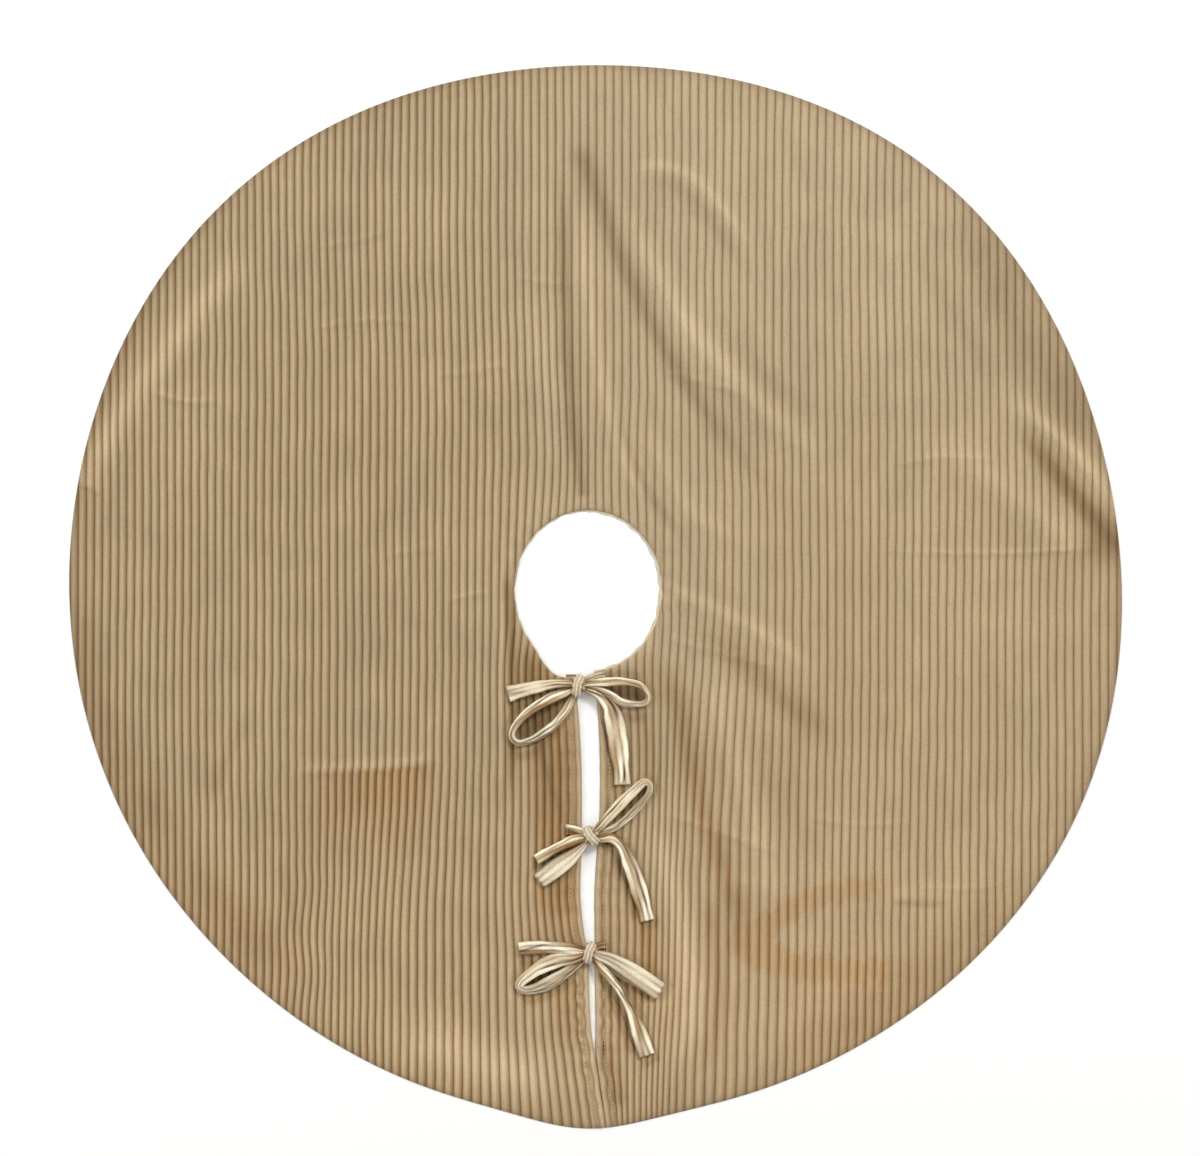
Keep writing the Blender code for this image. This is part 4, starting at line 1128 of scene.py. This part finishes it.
# each ribbon: rows of (x, y, z, width, tilt) in mm and degrees from its knot's centre
RIBBONS = {
    "top_left_tail": ((-3, 1, 12, 7, 10), (-12, 2, 13, 9, 22), (-29, 1.5, 12, 12.5, 26), (-48.5, -2, 10.5, 15, 22), (-66, -6, 9.6, 17, 14), (-80.5, -10, 9.5, 18, 8)),
    "top_left_loop": ((-3, -3, 10.5, 6, 20), (-15.9, -8.5, 12.5, 11, 30), (-35.5, -17, 13, 15, 36), (-57, -30.5, 12, 15, 46), (-72.5, -47.5, 10.5, 14, 56), (-75.5, -60, 9.8, 13, 60), (-66.2, -66.5, 9.6, 13, 58), (-48.4, -60, 9.6, 14, 50), (-29, -47, 9.6, 14, 40), (-15.5, -31, 9.2, 11.5, 32), (-7, -15.5, 8.8, 8.5, 20), (-3, -6, 9, 6, 10)),
    "top_right_loop": ((3, 1, 12.5, 6, -10), (14, 2.5, 13.5, 9, -26), (33, 4, 13.5, 12, -40), (55, 4, 12.5, 13, -50), (72, -0.5, 11, 13, -58), (80.3, -11.4, 10, 12, -62), (76.5, -20, 9.6, 12, -60), (63.4, -21.5, 9.6, 12, -54), (49, -18.7, 9.8, 12, -46), (37, -10.5, 10.4, 10.5, -34), (23, -4.5, 10.4, 8, -20), (5, -2, 10.5, 6, -10)),
    "top_right_tail": ((3, -3, 9.5, 7, 0), (12, -5, 9.8, 9, -8), (24.6, -10.5, 8.8, 14, -18), (36, -23, 7.2, 19, -22), (42, -40.6, 6.4, 22, -16), (46, -63.3, 5.8, 22.5, -8), (49, -89, 5.6, 21, -4), (50.5, -104, 5.8, 20, 0), (51, -114.5, 6.0, 19.5, 2)),
    "middle_left_tail": ((-3, -1, 12, 7, 10), (-10.5, -2.5, 13.8, 10, 20), (-23, -6, 13.8, 13.5, 30), (-37, -12.8, 12.2, 14, 34), (-51.5, -20.5, 10.5, 13, 30), (-63, -27.5, 9.8, 13, 26)),
    "middle_left_loop": None,
    "middle_right_loop": ((3, 3, 11.5, 6, -10), (11, 11, 13, 10, -18), (22.6, 24.5, 13.5, 14, -26), (36, 39, 12.5, 15.5, -34), (51, 53, 11.5, 15, -44), (61.5, 61.5, 10.5, 13, -54), (67.6, 58.6, 10, 12.5, -60), (65.8, 48.5, 9.8, 12.5, -56), (54.4, 33.6, 9.8, 12.5, -46), (41, 19.8, 9.8, 12, -38), (27, 9.5, 9.8, 9.5, -28), (12, 3.5, 10, 7, -16), (4, 0.5, 10, 6, -10)),
    "middle_right_tail": ((4, -3, 10.5, 7, 0), (13, -3.6, 12, 9, -10), (24, -2.6, 12.2, 12, -24), (34.5, -11.2, 10.6, 15, -34), (43, -28, 8.4, 17.5, -28), (50.6, -47.6, 6.8, 18.5, -16), (57.6, -70, 6.2, 18, -8), (61.8, -85, 6.2, 17.5, -4), (65, -98, 6.6, 18, 0)),
    "bottom_left_tail": ((-3, 1, 12, 7, 0), (-10, 2.6, 13, 9.5, -6), (-28.2, 4.5, 12, 13.5, -12), (-52.9, 5.2, 10.2, 15.5, -10), (-68, 4.6, 9.8, 16.5, -6), (-81.2, 3.5, 9.8, 17.5, -4)),
    "bottom_left_loop": ((-3, -2, 10.5, 6, 10), (-15.8, -6.2, 12.6, 11, 22), (-34.4, -8.5, 13, 15, 30), (-52.9, -15.4, 12, 15.5, 38), (-69, -26, 11, 14, 48), (-79.5, -35.5, 10, 12.5, 58), (-80.5, -41.5, 9.8, 12, 62), (-71.5, -44, 9.8, 13, 56), (-52.9, -39, 9.8, 15, 44), (-34.4, -28.6, 9.8, 14.5, 36), (-18.9, -17.3, 9.6, 11, 28), (-9.6, -10, 9.4, 8, 16), (-4, -4, 9.6, 6, 8)),
    "bottom_right_loop": None,
    "bottom_right_tail": ((3, -5, 9.5, 7, 0), (8.4, -11.5, 10.6, 9, -14), (18.8, -24.1, 9.6, 11.5, -34), (32.1, -40.3, 8.8, 12.5, -50), (41.5, -56.6, 8.6, 12.5, -52), (49.9, -73.6, 7.8, 15, -36), (57.7, -93.7, 6.8, 18, -18), (62.6, -108, 6.6, 19, -8), (66.2, -119.5, 6.8, 19.5, -4)),
}
# the lower left loop lies nearly shut, so its ribbon is broader and flatter
RIBBONS["bottom_left_loop"] = tuple((x, y, z, w * 1.20, t * 0.78) for x, y, z, w, t in RIBBONS["bottom_left_loop"])
# flat loops: (x, y, top z, low z, width) from the knot out to the folded end
FLAT = {
    "middle_left_loop": ((-3, -5, 10.5, 9.0, 6), (-10, -13, 11.0, 7.6, 9), (-23.6, -25.5, 10.6, 6.2, 17), (-38, -36, 10.0, 5.4, 20.5), (-50, -45, 9.6, 5.2, 20), (-57.5, -50.5, 8.8, 5.2, 19.5)),
    "bottom_right_loop": ((3, -1, 12.5, 9.5, 7), (10, -3, 13.6, 9.0, 11), (24.4, -8, 13.4, 7.4, 15.5), (43, -18.5, 12.0, 5.8, 19.5), (62, -31.5, 10.6, 5.4, 21.5), (80, -44.5, 9.0, 5.4, 22.5)),
}


def flat_rows(spec, sign):
    """Rows that go out on top, turn and come back beneath."""
    out = [(x, y, zt, w, 3 * sign) for x, y, zt, zl, w in spec]
    x1, y1, zt, zl, w = spec[-1]
    x0, y0 = spec[-2][:2]
    d = math.hypot(x1 - x0, y1 - y0)
    ux, uy = (x1 - x0) / d, (y1 - y0) / d
    turn = [(x1 + 1.6 * ux, y1 + 1.6 * uy, 0.75 * zt + 0.25 * zl, w, 3 * sign),
            (x1 + 2.3 * ux, y1 + 2.3 * uy, 0.5 * (zt + zl), w, 3 * sign),
            (x1 + 1.6 * ux, y1 + 1.6 * uy, 0.25 * zt + 0.75 * zl, w, 3 * sign)]
    slip = (0.2, 2.2, 5.2, 6.0, 3.2, 1.0) if ux > 0 else (0.2, 0.8, 1.2, 1.2, 0.8, 0.4)
    back = [(x + slip[k] * uy, y - slip[k] * ux, zl, w * 0.97, 3 * sign) for k, (x, y, zt2, zl, w) in enumerate(reversed(spec))]
    return out, turn, back


def flat_ribbon(name, knot, spec):
    """A folded-back ribbon: its section keeps its width level all the way round the turn."""
    out, turn, back = flat_rows(spec, 1)
    rows = curve(out, 10) + turn + curve(back, 10)
    P = np.array([(knot[0] + r[0] / 1e3 + SHIFT[0], knot[1] + r[1] / 1e3 + SHIFT[1], r[2] / 1e3) for r in rows])
    W = np.array([r[3] / 1e3 for r in rows])
    n = len(rows) - 1
    ex, ey = spec[-1][0] - spec[0][0], spec[-1][1] - spec[0][1]
    ph = sum(ord(ch) * (k + 3) for k, ch in enumerate(name)) * 0.37
    full = W.max()
    s = np.concatenate([[0.0], np.cumsum(np.linalg.norm(np.diff(P, axis=0), axis=1))])
    nt = 20
    half = len(curve(out, 10))
    co, grv, tn, flk_shade, faces = [], [], [], [], []
    a_list = list(np.linspace(-1, 1, nt + 1)) + list(np.linspace(1, -1, nt + 1)[1:-1])
    m = len(a_list)
    for i in range(n + 1):
        t = Vector(P[min(i + 1, n)] - P[max(i - 1, 0)]).normalized()
        if i < half:
            plan = Vector(P[min(i + 1, half - 1)] - P[max(i - 1, 0)])
        elif i >= half + len(turn):
            plan = -Vector(P[min(i + 1, n)] - P[max(i - 1, half + len(turn))])
        else:
            plan = Vector((ex, ey, 0))
        plan.z = 0
        plan.normalize()
        w = Vector((-plan.y, plan.x, 0))
        up = t.cross(w).normalized()
        if i < half and up.z < 0:
            up = -up
        elif i >= half + len(turn) and up.z > 0:
            up = -up
        elif half <= i < half + len(turn):
            out_dir = Vector((ex, ey, 0)).normalized()
            if up.dot(out_dir) < 0:
                up = -up
        sq = W[i] / full
        th = 0.0020 * (1 + 0.8 * (1 - sq)) / 2
        for j, a in enumerate(a_list):
            top = j <= nt
            rr = abs(math.cos(1.5 * math.pi * a)) ** 0.7
            edge = (1 - abs(a) ** 5)
            b = th * 0.9 * edge + 0.00055 * rr * (1 - a**8) if top else -th * 0.9 * edge
            co.append(P[i] + np.array(w) * a * W[i] / 2 + np.array(up) * b)
            rib = min(int((a + 1.0) * 1.5), 2)
            # the upper layer gets streaks of painted light and shade, painted shade where it is squeezed and across one
            # side; the lower layer is painted dark as its shadow
            grv.append((0.50 + 0.25 * math.sin(s[i] / 0.012 + ph)) * 1.1 * (1 - rr) if top else 0.4)
            tn.append((0.04 + 0.12 * math.sin(s[i] / 0.019 + 2.2 * rib + ph) - 0.14 * (1 - sq)) if i < half else -0.22)
            flk_shade.append(min(max(0.30 + 0.45 * a * math.cos(s[i] / 0.030 + ph) + 0.4 * math.sin(s[i] / 0.022 + 1.9 * rib + ph), 0.0), 1.0))
        if i:
            for j in range(m):
                k = (j + 1) % m
                faces.append(((i - 1) * m + j, (i - 1) * m + k, i * m + k, i * m + j))
    faces.append(tuple(reversed(range(m))))
    faces.append(tuple(range(n * m, n * m + m)))
    ob = new_mesh(name, np.array(co), faces, {"groove": grv, "tone": tn, "flank_shade": flk_shade,
                                              "warm": np.clip(-np.array(tn) * 1.3, 0, 1)})
    ob.data.materials.append(M_TIE_PAINTED_LIGHT)
    fix_normals(ob)
    return ob, float(s[-1]), float(full)


STUBS = {   # from the hem in to the knot: (x, y, z, width, tilt)
    ("top", "left"): ((-16, -2, 5.2, 13, 0), (-11, -1.5, 6.8, 12, 0), (-6, -0.5, 9.0, 10, 0), (-2.5, 0, 10.5, 8, 0)),
    ("top", "right"): ((31, 10.5, 5.4, 14, 0), (24, 9.5, 6.2, 13, 0), (14, 6.5, 7.8, 11, 0), (6, 3, 9.5, 9, 0), (2.0, 1, 10.5, 8, 0)),
    ("middle", "left"): ((-29, 6.5, 5.2, 15, 4), (-22, 6.0, 6.6, 14, 4), (-15, 4.5, 8.4, 13, 4), (-8, 2.5, 10.0, 11, 0), (-2.5, 1, 11.0, 9, 0)),
    ("middle", "right"): ((23, -7.5, 5.2, 12, 0), (17, -6.8, 6.0, 11, 0), (9, -4.5, 8.0, 10, 0), (2.5, -2, 10.0, 8, 0)),
    ("bottom", "left"): ((-18, 1, 5.2, 13, 0), (-12, 1.2, 6.6, 12, 0), (-6, 1, 9.0, 10, 0), (-2.5, 0.5, 10.5, 8, 0)),
    ("bottom", "right"): ((19, 5.5, 5.2, 13, 0), (13, 5, 6.4, 12, 0), (7, 3, 8.6, 10, 0), (2.0, 1, 10.5, 8, 0)),
}
KNOT_TURN = {"top": -16.0, "middle": 34.0, "bottom": -22.0}   # how the wrap runs across the knot
KNOT_SIZE = {"top": (9.6, 12.6), "middle": (11.0, 11.6), "bottom": (9.4, 12.2)}


def knot_half(bow, side):
    """Half of a knot: a pleated lump, cut by the plane where the two ties meet."""
    kx, ky = KNOTS[bow]
    sgn = -1.0 if side == "left" else 1.0
    rx, ry = (v / 1e3 for v in KNOT_SIZE[bow])
    rz, zc = 0.0080, 0.0112
    beta = math.radians(KNOT_TURN[bow])
    n, m = 16, 46
    co, grv, tn = [], [], []
    for i in range(n + 1):
        u = math.sin(0.5 * math.pi * (i / n)) * 0.985
        x0 = sgn * (0.00012 + u * rx)
        rr = math.sqrt(max(1.0 - u * u, 0.0))
        for j in range(m):
            a = 2 * math.pi * j / m
            y0, z0 = ry * rr * math.cos(a), rz * rr * math.sin(a)
            # a wrap of three pleats crosses the top, with the gathers of the ribbons beside it
            p = (x0 * math.cos(beta) + y0 * math.sin(beta))
            q = (-x0 * math.sin(beta) + y0 * math.cos(beta))
            p2 = p + 0.0009 * math.sin(q / 0.0045 + 1.0)
            wrap = math.exp(-(p2 / 0.0058) ** 4)
            pl = math.cos(2 * math.pi * p2 / 0.0041)
            fan = math.cos(9.0 * math.atan2(q, abs(p) + 0.003) + 1.0)
            h = wrap * (0.0012 + 0.00060 * pl) + (1 - wrap) * (0.0007 * fan - 0.0012)
            d = Vector((x0 / rx, y0 / ry, z0 / rz))
            if d.length > 1e-6:
                d.normalize()
            d = Vector((d.x if i else 0.0, d.y, d.z))
            x, y, z = x0 + h * d.x, y0 + h * d.y, z0 + h * d.z
            if i == 0:
                x = sgn * 0.00012
            co.append((kx + x + SHIFT[0], ky + y + SHIFT[1], max(zc + z, 0.0038)))
            g = wrap * 0.55 * (0.5 - 0.5 * pl) + (1 - wrap) * (0.45 - 0.45 * fan)
            grv.append(0.9 * g)
            # the wrap is painted lighter as a highlight; the gathers beside it, the wrap's borders and the knot's
            # underside are painted shade
            wrap_border_shade = math.exp(-((abs(p2) - 0.0064) / 0.0012) ** 2)
            tn.append(0.12 * wrap - 0.18 * (1 - wrap) - 0.30 * wrap_border_shade - 0.25 * max(0.0, -z0 / rz))
    faces = []
    for i in range(n):
        for j in range(m):
            k = (j + 1) % m
            faces.append((i * m + j, i * m + k, (i + 1) * m + k, (i + 1) * m + j))
    faces.append(tuple(range(m)))
    faces.append(tuple(range(n * m, n * m + m)))
    ob = new_mesh(bow + "_" + side + "_knot_half", np.array(co), faces,
                  {"groove": grv, "tone": tn, "flank_shade": np.full(len(co), 0.3),
                   "warm": np.clip(-np.array(tn) * 1.5, 0, 1)}, 60)
    ob.data.materials.append(M_TIE_PAINTED_LIGHT)
    fix_normals(ob)
    return ob


def build_ties():
    for bow, knot in KNOTS.items():
        for side in ("left", "right"):
            flap = side + "_flap"
            k = knot_half(bow, side)
            st, ln, wd = ribbon(bow + "_" + side + "_tie_stub", knot, STUBS[bow, side], 0.0024, open_end=False, tone0=-0.06)
            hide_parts(bow + "_" + side + "_tie")
            for o in (k, st):
                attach(o, flap)
            for part in ("loop", "tail"):
                name = bow + "_" + side + "_" + part
                if RIBBONS[name] is None:
                    ob, ln, wd = flat_ribbon(name + "_ribbon", knot, FLAT[name])
                else:
                    ob, ln, wd = ribbon(name + "_ribbon", knot, RIBBONS[name], 0.0026 if part == "tail" else 0.0024,
                                        open_end=(part == "tail"))
                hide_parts(name)
                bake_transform(ob)


def stitches():
    """Topstitching along both hems of the slit, and the rows that hold the ties down."""
    for side in ("left", "right"):
        sgn = -1.0 if side == "left" else 1.0
        co, faces = [], []

        def stitch(p, q, r=0.00042):
            """One thread stitch, a short capsule from p to q."""
            p, q = Vector(p), Vector(q)
            t = (q - p).normalized()
            w = Vector((0, 0, 1)).cross(t).normalized()
            v = t.cross(w)
            base = len(co)
            rings = ((0.0, 0.25, -0.55), (0.16, 0.85, 0.10), (0.5, 1.0, 0.45), (0.84, 0.85, 0.10), (1.0, 0.25, -0.55))
            for f, k, lift in rings:
                c = p.lerp(q, f) + Vector((0, 0, 1)) * r * lift
                for j in range(6):
                    a = math.pi * j / 3
                    co.append(c + w * math.cos(a) * r * k + v * math.sin(a) * r * k)
            for i in range(4):
                for j in range(6):
                    k = (j + 1) % 6
                    faces.append((base + i * 6 + j, base + i * 6 + k, base + (i + 1) * 6 + k, base + (i + 1) * 6 + j))
            faces.append(tuple(base + j for j in reversed(range(6))))
            faces.append(tuple(base + 24 + j for j in range(6)))

        ya = -0.094 - 0.0049 * np.arange(103)
        for_y = np.stack([ya, ya - 0.0036], 1).ravel()
        for_x = slit_x(side, for_y) + sgn * 0.0112
        for_z = face_z(for_x, for_y, np.full(for_y.shape, 0.35)) + 0.0002
        ends = np.stack([for_x + SHIFT[0], for_y + SHIFT[1], for_z], 1)
        for i in range(0, len(ends), 2):
            stitch(ends[i], ends[i + 1], 0.00052)
        for bow, knot in KNOTS.items():
            row = STUBS[bow, side][0]
            for k in range(-2, 3):
                x = knot[0] + row[0] / 1e3 - sgn * 0.0016 + SHIFT[0]
                y0 = knot[1] + (row[1] + k * 2.3) / 1e3 + SHIFT[1]
                stitch((x, y0 - 0.0008, 0.0078), (x + sgn * 0.0002, y0 + 0.0008, 0.0078))
        ob = new_mesh("slit_topstitch_" + side, np.array([tuple(c) for c in co]), faces)
        ob.data.materials.append(M_THREAD)
        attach(ob, side + "_flap")


# ---------------------------------------------------------------- build it
def area_of(ob):
    return float(sum(p.area for p in ob.data.polygons))


HALF_AREA = {}
for side, flap in (("left", "left_flap"), ("right", "right_flap")):
    face = build_face(side)
    face.data.materials.append(M_FACE)
    lining = build_lining(side)
    lining.data.materials.append(M_LINING)
    for ob, node, slot in ((face, "face_panel", "velvet_face"), (lining, "lining_panel", "lining")):
        bend_with_flap(ob)
        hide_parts(node, side + "_" + node)

edges = build_edges()
for side in ("left", "right"):
    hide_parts("rim_hem", side + "_rim_hem")
    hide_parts("collar_facing", side + "_collar_facing")
    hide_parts(side + "_slit_hem")

build_ties()
stitches()

# ---------------------------------------------------------------- floor, light, camera
floor_me = bpy.data.meshes.new("floor")
floor_me.from_pydata([(-6, -6, 0), (6, -6, 0), (6, 6, 0), (-6, 6, 0)], [], [(0, 1, 2, 3)])
floor = bpy.data.objects.new("floor", floor_me)
bpy.context.scene.collection.objects.link(floor)
fm = Mat("floor_pale", 0.95)
fm.colour(fm.mix(fm.noise(2.0, 2.0), (0.978, 0.979, 0.984), (0.990, 0.991, 0.995)))
floor_me.materials.append(fm.m)

world = bpy.data.worlds.new("studio")
bpy.context.scene.world = world
world.use_nodes = True
bg = world.node_tree.nodes["Background"]
bg.inputs[0].default_value = (1.0, 0.998, 0.992, 1.0)
bg.inputs[1].default_value = 0.56


def area(name, loc, target, size, energy, colour=(1, 1, 1)):
    li = bpy.data.lights.new(name, 'AREA')
    li.shape = 'SQUARE'
    li.size = size
    li.energy = energy
    li.color = colour
    ob = bpy.data.objects.new(name, li)
    ob.location = loc
    ob.rotation_euler = (Vector(target) - Vector(loc)).to_track_quat('-Z', 'Y').to_euler()
    bpy.context.scene.collection.objects.link(ob)


area("key", (1.9, 2.6, 3.4), (0, 0, 0), 1.3, 120.0, (1.0, 0.985, 0.96))
area("left_soft", (-3.2, 0.4, 2.2), (0, 0, 0), 2.0, 46.0, (1.0, 0.99, 0.97))

cam_data = bpy.data.cameras.new("camera")
cam_data.lens = 103.9
cam_data.sensor_width = 36.0
cam = bpy.data.objects.new("camera", cam_data)
cam.location = (0.0046 + SHIFT[0], 0.0208 + SHIFT[1], 4.0)
cam.rotation_euler = (0.0, 0.0, 0.0)
bpy.context.scene.collection.objects.link(cam)
bpy.context.scene.camera = cam
bpy.context.scene.view_settings.view_transform = 'Standard'
bpy.context.scene.view_settings.look = 'None'
